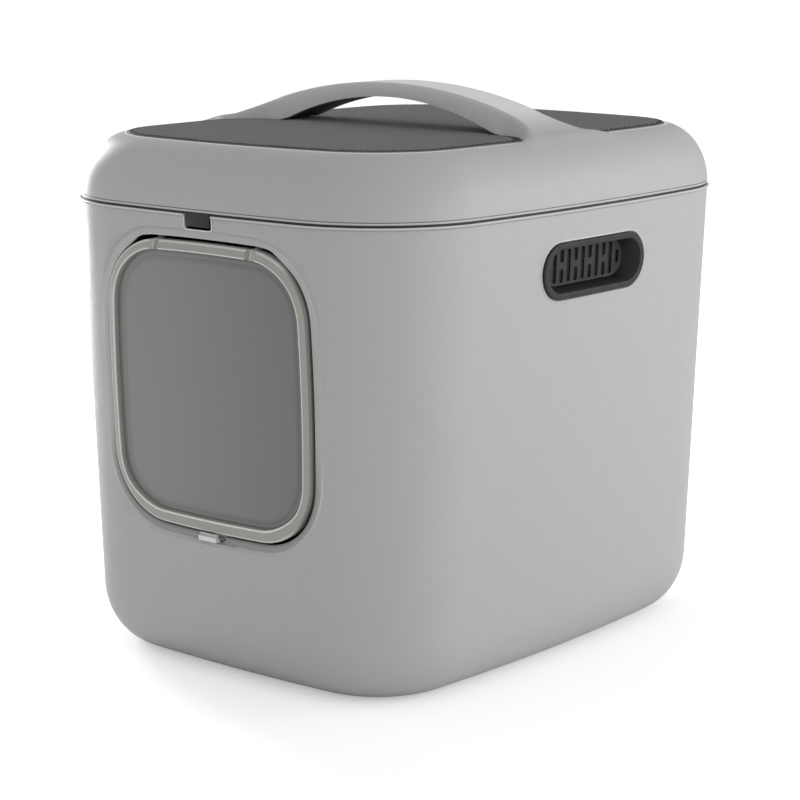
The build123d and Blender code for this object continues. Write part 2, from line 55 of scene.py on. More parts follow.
# Door: its middle's height, its plane behind the wall, the hinges' axes, the collar's face, the opening's distance
# from the flap, and where the collar's flank starts and how wide it is.
FLAP_Z, FLAP_RECESS = 294.2, 3.5
FRONT_Y = -(HALF_DEPTH - (TUB_TOP - FLAP_Z) * SLOPE) + FLAP_RECESS
HINGE_X, HINGE_UP, HINGE_OUT = 64.0, 139.0, -6.0
COLLAR_OUT, OPENING, FLANK_START, FLANK = -2.5, 3.5, 9.0, 3.0
# Vents: their middle's height, and the flat seat sunk into the wall.
VENT_Z, SEAT_OUT = 405.2, -1.6
VENT_X = HALF_WIDTH - (TUB_TOP - VENT_Z) * SLOPE
SIGN = {"left": -1, "right": 1}


# ---- Formulas ----
def rise(t):
    """Smooth step from 0 to 1: t^2 (3 - 2t)."""
    t = np.clip(t, 0, 1)
    return t * t * (3 - 2 * t)


def bell(t, middle, width):
    """exp(-((t - middle) / width)^2)."""
    return np.exp(-(((t - middle) / width) ** 2))


def mixed(first, second, share):
    """first + (second - first) share."""
    return first + (second - first) * share


def even(count):
    """Equal steps from 0 to 1."""
    return np.linspace(0, 1, count + 1)


def smooth_max(first, second, k):
    """Maximum with a rounded joint: max + (k - difference)^2 / 4k."""
    return np.maximum(first, second) + np.maximum(k - abs(first - second), 0) ** 2 / (4 * k)


def halved(low, high, passes):
    """The last value between two bounds that passes a test, found by halving."""
    for _ in range(22):
        middle = (low + high) / 2
        passed = passes(middle)
        low, high = np.where(passed, middle, low), np.where(passed, high, middle)
    return low


def bow_radius(reach, bow):
    """Radius of an arc that bows so far over a chord of twice the reach: (reach^2 + bow^2) / (2 bow)."""
    return (reach**2 + bow**2) / (2 * bow)


# ---- Outlines ----
class Bowed:
    """A rounded rectangle with bowed sides, eight tangent arcs: corners centred on (cx, cy), sides on (side_x, 0) and
    ends on (0, end_y). ax and ay are the half angles of a side and an end. Sizes may be arrays, one outline each."""

    def __init__(self, half_x, half_y, corner, bow_x, bow_y):
        self.corner = corner
        self.cx, self.cy = half_x - corner - bow_x, half_y - corner - bow_y
        long_x, long_y = bow_radius(self.cy, bow_x), bow_radius(self.cx, bow_y)
        self.ax, self.ay = np.arcsin(self.cy / long_x), np.arcsin(self.cx / long_y)
        self.side_x, self.end_y = self.cx + bow_x - long_x, self.cy + bow_y - long_y
        self.side_radius, self.end_radius = long_x + corner, long_y + corner

    def outline(self, side, curve, back, front):
        """Points once round, counter-clockwise from the start of the +X side, and their outward normals. A point is
        its arc's centre plus radius times (cos, sin) of its angle; each argument gives angles as shares, 0 to 1."""
        ax, ay, cx, cy = self.ax, self.ay, self.cx, self.cy
        arcs = (
            (self.side_x, 0, self.side_radius, -ax, ax, side),
            (cx, cy, self.corner, ax, pi / 2 - ay, curve),
            (0, self.end_y, self.end_radius, pi / 2 - ay, pi / 2 + ay, back),
            (-cx, cy, self.corner, pi / 2 + ay, pi - ax, curve),
            (-self.side_x, 0, self.side_radius, pi - ax, pi + ax, side),
            (-cx, -cy, self.corner, pi + ax, 1.5 * pi - ay, curve),
            (0, -self.end_y, self.end_radius, 1.5 * pi - ay, 1.5 * pi + ay, front),
            (cx, -cy, self.corner, 1.5 * pi + ay, 2 * pi - ax, curve),
        )
        points, normals = [], []
        for centre_x, centre_y, radius, start, stop, share in arcs:
            angle = mixed(start, stop, share[:-1])
            normals.append(np.stack((np.cos(angle), np.sin(angle)), -1))
            points.append((centre_x, centre_y) + radius * normals[-1])
        return np.concatenate(points), np.concatenate(normals)

    def beyond(self, x, y):
        """How far plan points lie outside: the distance to the nearest arc, negative inside."""
        x, y = abs(x), abs(y)
        beside = np.arctan2(y, x - self.side_x) <= self.ax
        ahead = np.arctan2(x, y - self.end_y) <= self.ay
        near_side = np.hypot(x - self.side_x, y) - self.side_radius
        near_end = np.hypot(x, y - self.end_y) - self.end_radius
        near_corner = np.hypot(x - self.cx, y - self.cy) - self.corner
        return np.where(beside, near_side, np.where(ahead, near_end, near_corner))

    def facing(self, x, y):
        """Direction of the outline's normal that passes through each point."""
        angle = np.arctan2(abs(y) - self.cy, abs(x) - self.cx)
        by_side = np.arctan2(abs(y), abs(x) - self.side_x)
        by_end = np.arctan2(abs(y) - self.end_y, abs(x))
        angle = np.where(by_side <= self.ax, by_side, np.where(by_end >= pi / 2 - self.ay, by_end, angle))
        return np.arctan2(np.sin(angle) * np.sign(y), np.cos(angle) * np.where(x < 0, -1, 1))

    def edge_point(self, angle, out=0.0):
        """The point whose normal has each angle, moved outwards: arc centre + (radius + out) (cos, sin)."""
        folded = np.arctan2(abs(np.sin(angle)), abs(np.cos(angle)))
        beside, ahead = folded <= self.ax, folded >= pi / 2 - self.ay
        centre_x = np.where(beside, self.side_x, np.where(ahead, 0, self.cx))
        centre_y = np.where(beside, 0, np.where(ahead, self.end_y, self.cy))
        radius = np.where(beside, self.side_radius, np.where(ahead, self.end_radius, self.corner)) + out
        x = (centre_x + radius * np.cos(folded)) * np.where(np.cos(angle) < 0, -1, 1)
        y = (centre_y + radius * np.sin(folded)) * np.where(np.sin(angle) < 0, -1, 1)
        return np.stack((x, y), -1)


def lid_outline(inset):
    """The lid's plan outline drawn in by an inset; its corners lose only half of that."""
    return Bowed(HALF_WIDTH - inset, HALF_DEPTH - inset, CORNER - inset / 2, SIDE_BOW, FRONT_BOW)


def bed_outline(inset=0.0):
    """The outline of the mat's bed in the lid, drawn in by an inset."""
    return Bowed(201.0 - inset, 264.4 - inset, 93.0 - inset, 4.5, 6.3)


TUB = Bowed(HALF_WIDTH, HALF_DEPTH, CORNER, SIDE_BOW, FRONT_BOW)
BED, MAT = bed_outline(), bed_outline(MAT_GAP)
FLAP = Bowed(132.5, 143.5, 69.0, 1.6, 1.0)


def slot_edge(length, height, share, direction):
    """A slot's outline: half circles joined by straights. share places a point's centre along the slot's middle
    line from -1 to 1, and the point lies half the height from there in its direction."""
    radius = height / 2
    reach = length / 2 - radius
    return np.stack((share * reach + radius * np.cos(direction), radius * np.sin(direction)), -1)


def slot_ring(length, height, count=14):
    """A slot's outline as points: two half circles of count steps, joined by its straights."""
    turn = np.concatenate((np.linspace(-pi / 2, pi / 2, count + 1), np.linspace(pi / 2, 1.5 * pi, count + 1)))
    share = np.concatenate((np.ones(count + 1), -np.ones(count + 1)))
    return slot_edge(length, height, share, turn)


# ---- Meshes ----
def in_scene(name, data):
    """A new object that holds the data, linked to the scene."""
    holder = bpy.data.objects.new(name, data)
    bpy.context.scene.collection.objects.link(holder)
    return holder


class Skin:
    """Patches given as grids of points, welded into one closed mesh when the piece is finished."""

    def __init__(self):
        self.points, self.faces, self.wear, self.count = [], [], [], 0

    def add(self, points, faces, wear):
        """Points with their painted light, and faces as lists of point numbers: painted highlights are 1, painted shade
        -1.
        """
        self.points.append(points.reshape(-1, 3))
        self.wear.append(wear)
        self.faces += faces
        self.count += len(self.points[-1])

    def grid(self, points, around=False, keep=None, wear=0.0):
        """points[row, column]: quads join neighbours, around joins the last column to the first, keep marks the quads
        that stay, and the painted light, highlight above 0 and shade below, is one value, or one for each row or each
        point."""
        points = np.asarray(points)
        shape = points.shape[:2]
        index = np.arange(shape[0] * shape[1]).reshape(shape) + self.count
        if around:
            index = np.hstack((index, index[:, :1]))
        quads = np.stack((index[:-1, :-1], index[:-1, 1:], index[1:, 1:], index[1:, :-1]), -1)
        quads = quads.reshape(-1, 4) if keep is None else quads[keep]
        wear = np.asarray(wear, float)
        wear = np.broadcast_to(wear if wear.ndim == 2 else wear.reshape(-1, 1), shape)
        self.add(points, quads.tolist(), wear.ravel())

    def cells(self, points, faces):
        """Many small copies at once: points[copy, corner], and faces of one copy as corner numbers."""
        start = self.count + np.arange(len(points))[:, None] * points.shape[1]
        quads = [quad for face in faces for quad in (start + np.array(face)).tolist()]
        self.add(points, quads, np.zeros(points.shape[0] * points.shape[1]))

    def face(self, points, wear=0.0):
        """One flat face with any number of corners."""
        self.add(points, [list(range(self.count, self.count + len(points)))], np.full(len(points), wear))

    def finish(self, name, material, body, slot, node, sharp=34):
        """Welds doubles, turns the faces outwards, shades smooth but for edges sharper than an angle, and says which
        body the piece rides on and the solid node that it stands for; slot, a finish name, is not used."""
        mesh = bpy.data.meshes.new(name)
        mesh.from_pydata(np.concatenate(self.points) * MM, [], self.faces)
        wear = np.concatenate(self.wear).astype(np.float32)
        mesh.attributes.new("wear", "FLOAT", "POINT").data.foreach_set("value", wear)
        shell = bmesh.new()
        shell.from_mesh(mesh)
        bmesh.ops.remove_doubles(shell, verts=shell.verts, dist=2e-5)
        bmesh.ops.dissolve_degenerate(shell, edges=shell.edges, dist=1e-6)
        bmesh.ops.recalc_face_normals(shell, faces=shell.faces)
        shell.to_mesh(mesh)
        shell.free()
        mesh.shade_smooth()
        mesh.set_sharp_from_angle(angle=radians(sharp))
        mesh.materials.append(material)
        piece = in_scene(name, mesh)
        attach(piece, body)
        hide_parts(node)
        return piece


def flat(points, z):
    """Plan points lifted to a height."""
    return np.concatenate((points, np.broadcast_to(z, points.shape[:-1])[..., None]), -1)


def carried(points, normals, inset, height, share=1.0):
    """A profile carried round an outline: each row is the outline moved inwards by its inset, at its height."""
    inset, height, share = np.broadcast_arrays(inset, height, share)
    plan = (points - inset[:, None, None] * normals) * share[:, None, None]
    return flat(plan, height[:, None])


def around_cells(grid, low, high, left, right):
    """The corners once round a block of a grid's cells, counter-clockwise seen from outside."""
    return np.concatenate(
        (grid[low, left:right], grid[low:high, right], grid[high, right:left:-1], grid[high:low:-1, left])
    )


def nearest(points, x, y):
    """Index of the point that lies nearest in plan."""
    return int(np.hypot(points[:, 0] - x, points[:, 1] - y).argmin())


def block(skin, place, across, up, out, bevel):
    """A box with rounded edges: slices from back to front, each a rectangle with round corners, drawn in near both
    ends along a quarter circle."""
    turn = np.linspace(0, 2 * pi, 21)[:-1] + pi / 20
    half_x, half_y = (across[1] - across[0]) / 2, (up[1] - up[0]) / 2
    quarter = np.linspace(0, pi / 2, 4)
    drawn_in, step = bevel * (1 - np.sin(quarter)), bevel * (1 - np.cos(quarter))
    insets = (bevel, *drawn_in, *drawn_in[::-1], bevel)
    depths = (out[0], *out[0] + step, *out[1] - step[::-1], out[1])
    rows = []
    for share, inset, z in zip((0, *[1] * 8, 0), insets, depths):
        x = np.sign(np.cos(turn)) * (half_x - bevel) + (bevel - inset) * np.cos(turn)
        y = np.sign(np.sin(turn)) * (half_y - bevel) + (bevel - inset) * np.sin(turn)
        rows.append(place(sum(across) / 2 + share * x, sum(up) / 2 + share * y, z))
    skin.grid(rows, around=True)


# ---- Frames of the door and of the vents ----
def at_door(across, up, out):
    """Door frame to model: across +X, up along the leaning wall, out of it."""
    across, up, out = np.broadcast_arrays(across, up, out)
    y = FRONT_Y - up * sin(LEAN) - out * cos(LEAN)
    return np.stack((across, y, FLAP_Z + up * cos(LEAN) - out * sin(LEAN)), -1)


def at_vent(side, across, up, out):
    """Vent frame to model on the +X side (1) or the -X side (-1): across +Y, up along the wall, out of it."""
    across, up, out = np.broadcast_arrays(across, up, out)
    x = side * (VENT_X + up * sin(LEAN) + out * cos(LEAN))
    return np.stack((x, across, VENT_Z + up * cos(LEAN) - out * sin(LEAN)), -1)


def wall_at_door(across, up, skin):
    """How far out of the door's plane the tub's wall stands: the drafted front arc or corner arc at that height."""
    out = 0 * across
    for _ in range(4):
        drawn_in = skin + (TUB_TOP - FLAP_Z - up * cos(LEAN) + out * sin(LEAN)) * SLOPE
        corner = CORNER - drawn_in
        bend = abs(across) > TUB.cx + corner * np.sin(TUB.ay)
        on_corner = TUB.cy + np.sqrt(np.maximum(corner**2 - (abs(across) - TUB.cx) ** 2, 0))
        on_front = TUB.end_y + np.sqrt((TUB.end_radius - drawn_in) ** 2 - across**2)
        out = (FRONT_Y - up * sin(LEAN) + np.where(bend, on_corner, on_front)) / cos(LEAN)
    return out


def wall_at_vent(across, up, skin):
    """How far out of the vent's plane the tub's side wall stands: the drafted side arc at that height."""
    out = 0 * across
    for _ in range(4):
        radius = TUB.side_radius - skin - (TUB_TOP - VENT_Z - up * cos(LEAN) + out * sin(LEAN)) * SLOPE
        out = (TUB.side_x + np.sqrt(radius**2 - across**2) - VENT_X - up * sin(LEAN)) / cos(LEAN)
    return out


# ---- Tub ----
# Blocks of the wall's cells that rings replace, at the door and at a vent: lowest and highest row, reach each way.
DOOR_CELLS, VENT_CELLS = (131.0, NOTCH_LOW, 153.0), (366.0, 445.0, 101.0)
# Bead under the rim and the rim itself: inset, height, painted light: painted shadow under the bead, painted highlights
# on its rounded top.
RIM = ((-0.5, 461.2, -0.35), (-1.3, 461.8, -0.2), (-1.8, 462.4, 0.1), (-2, 463, 0.3), (-1.85, 463.5, 0.5),
       (-1.5, 463.85, 0.5), (-1, TUB_TOP, 0.5), (1.5, TUB_TOP, 0), (2.7, TUB_TOP, 0), (WALL, 463.7, 0))
# Rings round the door: distance from the flap, out of the door's plane (None follows the wall), painted light below and
# above the door's middle: painted shadow on the collar under the flap, painted highlights on the ridge below it and
# along the upper edges.
DOOR_ROWS = ((12, None, 0, -0.12), (11.2, None, 0.25, -0.12), (10.5, None, 0.4, 0), (9.8, None, 0.2, 0.1),
             (9, None, -0.25, 0.12), (6.5, COLLAR_OUT, -0.33, 0.1), (4.3, COLLAR_OUT, -0.55, 0.12),
             (3.73, -2.73, -0.6, 0.3), (3.5, -3.3, -0.5, 0.2), (3.5, -5.2, -0.3, 0), (3.8, -5.5, 0, 0), (9, -5.5, 0, 0))
# Rings round a vent: length, height, lift over the wall (None is the flat seat), depth under the outside, painted
# highlight on the lip.
VENT_ROWS = ((188, 72.6, 0, 0, 0), (179, 63.6, 0, 0, 0), (177, 61.6, 0, 0, 0), (176, 60.6, 0.2, 0, 0.2),
             (175, 59.6, 0.7, 0, 0.7), (174.2, 58.8, 1, 0, 1), (173.4, 58, 0.8, 0, 0.7), (172.8, 57.4, 0.2, 0, 0.2),
             (172.6, 57.2, None, 0, 0), (172.4, 57, None, 0, 0), (160.5, 48.1, None, 0, 0),
             (160.3, 47.9, None, 0.2, 0), (160.3, 47.9, 0, WALL, 0), (176, 60, 0, WALL, 0))
# Half of the straight line down the middle of those rings.
VENT_REACH = 58.1


def tub_profile(skin, floor):
    """Rows of a tub surface from the middle of its floor up: inset, height and share of the plan's size. A flat
    floor, a quarter ellipse, then the drafted wall: inset = skin + (top - z) tan(draft)."""
    turn = np.linspace(pi / 2, 0, 15)
    foot = skin + (EDGE_INSET - skin) * (1 - np.cos(turn)) + (TUB_TOP - EDGE_HEIGHT) * SLOPE
    up = EDGE_HEIGHT - (EDGE_HEIGHT - floor) * np.sin(turn)
    below_door, beside_door = np.linspace(EDGE_HEIGHT, DOOR_CELLS[0], 9), np.linspace(*DOOR_CELLS[:2], 66)
    wall = np.concatenate((below_door[1:], beside_door[1:], [455, 460.5]))
    inset = np.concatenate(([foot[0]] * 3, foot, skin + (TUB_TOP - wall) * SLOPE))
    height = np.concatenate(([floor] * 3, up, wall))
    share = np.concatenate(([0, 0.4, 0.8], np.ones(len(height) - 3)))
    return inset, height, share


def arc_shares(radius, half_angle, marks):
    """Shares of an arc's angle that put points at given distances from its middle line."""
    return np.concatenate(([0], 0.5 + np.arcsin(np.array(marks) / radius) / (2 * half_angle), [1]))


def along(angle, side):
    """1 along the flap's top (side 1) or bottom (-1), easing to 0 round the corners."""
    return rise((side * np.sin(angle) - 0.5) / 0.45)


def door_edge(angle, out):
    """Outline round the flap at a distance. The opening itself leaves a gap of 2.3 and bells of 1.6 at 4, 2.8 at 19
    and 1.3 at 135 degrees from straight up, where the flap and its covers swing through, and 1.2 less along the top."""
    t = abs(np.degrees(np.arctan2(np.cos(angle), np.sin(angle))))
    gap = 2.3 + 1.6 * bell(t, 4, 8) + 2.8 * bell(t, 19, 9) + 1.3 * bell(t, 135, 25) - 1.2 * along(angle, 1)
    return FLAP.edge_point(angle, out + (gap - OPENING) * np.clip((FLANK_START - out) / (FLANK_START - OPENING), 0, 1))


def door_rings(outer, inner):
    """Rings that carry the wall from the cells round the door to the collar's opening and back along its inside, and
    their painted light, shadow and highlights. The flank between collar and wall is a smooth step, and the opening's
    edge is rounded. The innermost rings widen into the latch's slot."""
    across, up = outer[:, 0], (outer[:, 2] - FLAP_Z) * cos(LEAN) - (outer[:, 1] - FRONT_Y) * sin(LEAN)
    angle = FLAP.facing(across, up)
    slot_half, slot_up, slot_rings, painted_reach = 9.6, -152.3, 4.4, 120.0

    def ring(out, depth, skin=0.0):
        x, v = door_edge(angle, out).T
        if out < slot_rings:
            v = np.where((abs(x) < slot_half) & (v < 0), slot_up, v)
        if depth is None:
            depth = mixed(COLLAR_OUT - skin, wall_at_door(x, v, skin), rise((out - FLANK_START) / FLANK))
        return at_door(x, v, depth)

    far = door_edge(angle, FLANK_START + FLANK).T
    rings = [outer]
    for share in (0.4, 0.75):
        x, v = mixed(across, far[0], share), mixed(up, far[1], share)
        rings.append(at_door(x, v, wall_at_door(x, v, 0)))
    first = len(rings)
    rings += [ring(*row[:2]) for row in DOOR_ROWS]
    rings += [ring(out, None, WALL) for out in (10, 11, 12)]
    height = (ring(4.3, COLLAR_OUT)[:, 2] - FLAP_Z) / painted_reach
    wear = np.zeros((len(rings) + 1, len(outer)))
    for row, (_, _, below, above) in enumerate(DOOR_ROWS, first):
        wear[row] = below * rise((-height - 0.3) / 0.6) + above * rise((height - 0.3) / 0.6)
    return np.stack(rings + [inner]), wear


def vent_rings(side, outer, inner):
    """Rings that carry the side wall over a lip to the flat seat of a vent, through its hole and back to the inside,
    and their painted light: a highlight painted along the lip."""
    across, up = outer[:, 1], (outer[:, 2] - VENT_Z) * cos(LEAN) + (side * outer[:, 0] - VENT_X) * sin(LEAN)
    share = np.clip(across / VENT_REACH, -1, 1)
    direction = np.arctan2(up, across - VENT_REACH * share)
    rings, wear = [outer], [0]
    for length, height, lift, skin, painted_tone in VENT_ROWS:
        u, v = slot_edge(length, height, share, direction).T
        rings.append(at_vent(side, u, v, SEAT_OUT - skin if lift is None else wall_at_vent(u, v, skin) + lift))
        wear.append(painted_tone)
    lip = rings[int(np.argmax(wear))]
    # The painted highlight is stronger on the lip's upper half, as if lit from above.
    upper = 0.25 + 0.6 * np.clip((lip[:, 2] - VENT_Z) / 25, 0, 1)
    return np.stack(rings + [inner]), np.outer(wear + [0], upper)


def hinge_ear(skin, middle):
    """One ear of the tub: an eye round the pin and a hook that carries it from the collar's back over the flap, each
    a section round the hinge's axis, 6 wide."""
    turn = np.linspace(0, 2 * pi, 29)[:-1]
    eye = []
    for radius, x in ((1.55, -3), (1.55, 3), (2.6, 3), (2.9, 2.7), (2.9, -2.7), (2.6, -3), (1.55, -3)):
        eye.append(at_door(middle + x, HINGE_UP + radius * np.sin(turn), HINGE_OUT + radius * np.cos(turn)))
    skin.grid(eye, around=True)
    hook = np.array([(0.8, 8.3), (0.8, 19.3), (-4.5, 19.3), (-16, 11.3), (-16, 8.0), (-14.6, 6.7), (-2.5, -0.3),
                     (-1.0, 2.3), (-11.6, 8.3)])
    sides = [at_door(middle + x, HINGE_UP + hook[:, 1], HINGE_OUT + hook[:, 0]) for x in (-3, 3)]
    skin.grid(sides, around=True)
    for side in sides:
        skin.face(side)


def notch_bead(skin):
    """Raised bead round the rim's notch: a rounded strip carried down, round and up again."""
    width, bend = 0.65, 3.65
    low, half = NOTCH_LOW - width, NOTCH_HALF + width
    turn = np.linspace(0, pi / 2, 9)
    down = np.linspace(463.4, low + bend, 7)[:-1]
    x = np.concatenate((-half + 0 * down, -half + bend - bend * np.cos(turn)))
    z = np.concatenate((down, low + bend - bend * np.sin(turn)))
    run = np.linspace(-half + bend, half - bend, 9)[1:-1]
    x = np.concatenate((x, run, -x[::-1]))
    z = np.concatenate((z, low + 0 * run, z[::-1]))
    tangent = np.gradient(np.stack((x, z), -1), axis=0)
    tangent /= np.hypot(*tangent.T)[:, None]
    rows, wear = [], []
    # The third value paints a highlight along the bead's crest.
    for side, out, painted_tone in ((-width, -1.5, 0), (-width, 0.55, 0.3), (-0.45, 0.88, 0.8), (0, 1.0, 1), (0.45, 0.88, 0.8),
                            (width, 0.55, 0.3), (width, -1.5, 0), (-width, -1.5, 0)):
        px, pz = x - side * tangent[:, 1], z + side * tangent[:, 0]
        radius = TUB.end_radius - (TUB_TOP - pz) * SLOPE
        rows.append(np.stack((px, -TUB.end_y - np.sqrt(radius**2 - px**2) - out, pz), -1))
        wear.append(painted_tone)
    strip = np.stack(rows)
    skin.grid(strip, wear=wear)
    for end in (0, -1):
        skin.face(strip[:-1, end])


def tub_shell(material):
    """The tub: its outer and inner surfaces, profiles carried round the outline, meet at a beaded rim, and rings join
    them through each hole. The rim is cut by a notch over the door, and ears and a latch guide stand on the wall."""
    beside_notch = np.linspace(NOTCH_HALF, 115, 20)
    marks = [*-beside_notch[::-1], -14, -9.5, -5, 0, 5, 9.5, 14, *beside_notch]
    points, normals = TUB.outline(even(62), even(24), even(24), arc_shares(TUB.end_radius, TUB.ay, marks))
    rim_inset, rim_height, rim_wear = np.array(RIM).T
    inset, height, share = tub_profile(0, 0)
    painted_tone = np.concatenate((0 * height, rim_wear))
    outer = carried(points, normals, [*inset, *rim_inset], [*height, *rim_height], [*share, *[1] * len(RIM)])
    inset, height, share = tub_profile(WALL, WALL)
    inner = carried(points, normals, [*inset, rim_inset[-1]], [*height, rim_height[-1]], [*share, 1])

    def rows_near(*heights):
        return [int(abs(outer[:, 0, 2] - height).argmin()) for height in heights]

    def ends(columns):
        found = np.nonzero(columns)[0]
        return int(found[0]), int(found[-1])

    x, y = points.T
    high = rows_near(NOTCH_LOW)[0]
    left, right = ends((abs(abs(x) - NOTCH_HALF) < 0.2) & (y < 0))
    holes = [(*rows_near(*DOOR_CELLS[:2]), *ends((abs(x) < DOOR_CELLS[2]) & (y < 0)))]
    for side in (1, -1):
        holes.append((*rows_near(*VENT_CELLS[:2]), *ends((abs(y) < VENT_CELLS[2]) & (side * x > 0))))
    skin = Skin()
    for grid, wear in ((outer, painted_tone), (inner, 0.0)):
        keep = np.ones((grid.shape[0] - 1, grid.shape[1]), bool)
        for bottom, top, first, last in holes:
            keep[bottom:top, first:last] = False
        keep[high:, left:right] = False
        skin.grid(grid, around=True, keep=keep, wear=wear)
    rings, wear = door_rings(around_cells(outer, *holes[0]), around_cells(inner, *holes[0]))
    skin.grid(rings, around=True, wear=wear)
    for side, hole in ((1, holes[1]), (-1, holes[2])):
        rings, wear = vent_rings(side, around_cells(outer, *hole), around_cells(inner, *hole))
        skin.grid(rings, around=True, wear=wear)
    skin.grid((outer[high, left:right + 1], inner[high, left:right + 1]))
    for column in (left, right):
        skin.face(np.concatenate((outer[high:, column], inner[high:-1, column][::-1])))
    notch_bead(skin)
    for side in (-1, 1):
        hinge_ear(skin, side * HINGE_X)
    block(skin, at_door, (-29, 29), (-176.5, -153), (-5.5, 1.5), 1.0)
    return skin.finish("tub_shell", material, "tub", "tub_plastic", "body_shell")


# ---- Lid ----
# Handle: arcs of its top and of the grip under it, the grip's end on the bed, half widths of its lower edge and of its
# flat top, and where its feet start to spread and over what length.
ARCH_RADIUS, GRIP_RADIUS = bow_radius(200.0, 43.0), bow_radius(137.0, 29.0)
GRIP_Z = LID_TOP + 32.0 - GRIP_RADIUS
GRIP_END = sqrt(GRIP_RADIUS**2 - (BED_FLOOR - GRIP_Z) ** 2)
STRIP, FLAT = 28.0, 22.0
FLARE_START, FLARE_RUN = 150.0, 66.0
# Inset at which the border round the bed turns into the shoulder, and the shoulder's end above the lid's base.
BORDER_INSET, SHOULDER_END = 33.0, 3.0
# Bed wall: out from the bed, height, painted light: painted shade at its foot beside the mat, painted highlights on its
# rounded top edge. Lip at the lid's lower edge: inset, height, painted light: painted shade over the seam, painted
# highlights on the lip's edge.
BED_WALL = ((0, BED_FLOOR, -1), (0, 527.2, -0.6), (0.25, 527.75, 0.8), (0.8, LID_TOP, 1))
LIP = ((1.3, 469.1, -0.5), (1.3, 468.4, -0.5), (0.3, 468.3, 0.3), (0.05, 468, 0.3), (0, 466.7, 0), (0.3, 466.3, 0),
       (WALL, 466.3, 0))
# Columns across the handle's top and its underside, and rows along its span and on to a foot's end.
FOOT_COLUMNS, UNDER_COLUMNS, SPAN, STRETCH = 41, 9, 27, 13


def shoulder_height(x, y):
    """Height of the lid over plan points: a quarter ellipse, base + rise sqrt(1 - (1 - inset / 42)^2), whose inset is
    the most that still leaves the point inside the outline."""
    inset = halved(0 * x, 0 * x + SHOULDER, lambda middle: lid_outline(middle).beyond(x, y) <= 0)
    return LID_BASE + (LID_TOP - LID_BASE) * np.sqrt(1 - (1 - inset / SHOULDER) ** 2)


def foot_flare(x):
    """How far the handle has spread into its foot: flare^2.6, where flare grows from 0 at x 150 to 1 at x 216."""
    return np.clip((abs(x) - FLARE_START) / FLARE_RUN, 0, 1.3) ** 2.6


def foot_half(x):
    """Half width of the handle at its lower edge, with 74 more where the foot has spread."""
    return STRIP + 74 * foot_flare(x)


def flat_half(x):
    """Half width of the handle's flat top, with 45 more where the foot has spread."""
    return FLAT + 45 * foot_flare(x)


def foot_blend(x, y):
    """Reach of the smooth joint between foot and shoulder: 2, growing to 14 over the shoulder under the flat top and
    back to 2 at the foot's sides."""
    inner = flat_half(x)
    return 2 + 12 * rise((abs(x) - 188) / 20) * (1 - rise((abs(y) - inner) / (foot_half(x) - inner)))


def under(x):
    """Height of the handle's lower edge: the grip's arc, which runs out into the mat's level with a rounded joint,
    and the mat's bed beyond its ends."""
    arc = GRIP_Z + np.sqrt(np.maximum(GRIP_RADIUS**2 - x**2, 0))
    return np.where(abs(x) < GRIP_END - 1, smooth_max(arc, MAT_TOP - 0.3, 3.5), BED_FLOOR)


def handle_side(x, t):
    """Half a section across the handle, from its lower edge (t 0) to its flat top (t 1): a cubic Bezier curve that is
    an upright side with a round top edge in the strip, and leans ever further out towards the foot. The crest is an
    arc, 1.3 lower at the middle and falling away past x 205."""
    crest = TOP - ARCH_RADIUS + np.sqrt(ARCH_RADIUS**2 - x**2) - 0.05 * np.maximum(abs(x) - 205, 0) ** 2
    crest = crest - 1.3 * np.maximum(1 - (x / 140) ** 2, 0)
    low, base, inner = np.minimum(under(x), crest), foot_half(x), flat_half(x)
    flare = np.clip((abs(x) - FLARE_START) / FLARE_RUN, 0, 1)
    knee = inner + 6 * (1 - flare) + flare * (base - inner) * 0.4
    out = (base, base - flare * (base - inner) / 2, knee, inner)
    up = (low, crest - 3 * (1 - flare) - flare * (crest - low) * 0.95, crest, crest)
    weight = ((1 - t) ** 3, 3 * (1 - t) ** 2 * t, 3 * (1 - t) * t**2, t**3)
    return sum(w * o for w, o in zip(weight, out)), sum(w * u for w, u in zip(weight, up))


def side_share(x, y):
    """The t at which a section across x is y out."""
    return halved(0 * y, 0 * y + 1, lambda middle: handle_side(x, middle)[0] > abs(y))


def lid_top(x, y, level):
    """Height over plan points where the handle's foot rises from a level through a rounded joint."""
    base = foot_half(x)
    foot = handle_side(x, side_share(x, np.minimum(abs(y), base)))[1] - 2 * np.maximum(abs(y) - base, 0)
    return smooth_max(level, foot, foot_blend(x, y))


def foot_edge():
    """Where the foot's edge meets the bed's outline: y by repeated substitution."""
    y = 64.0
    for _ in range(20):
        y = float(foot_half(np.array(BED.side_x + sqrt(BED.side_radius**2 - y**2))))
    return y


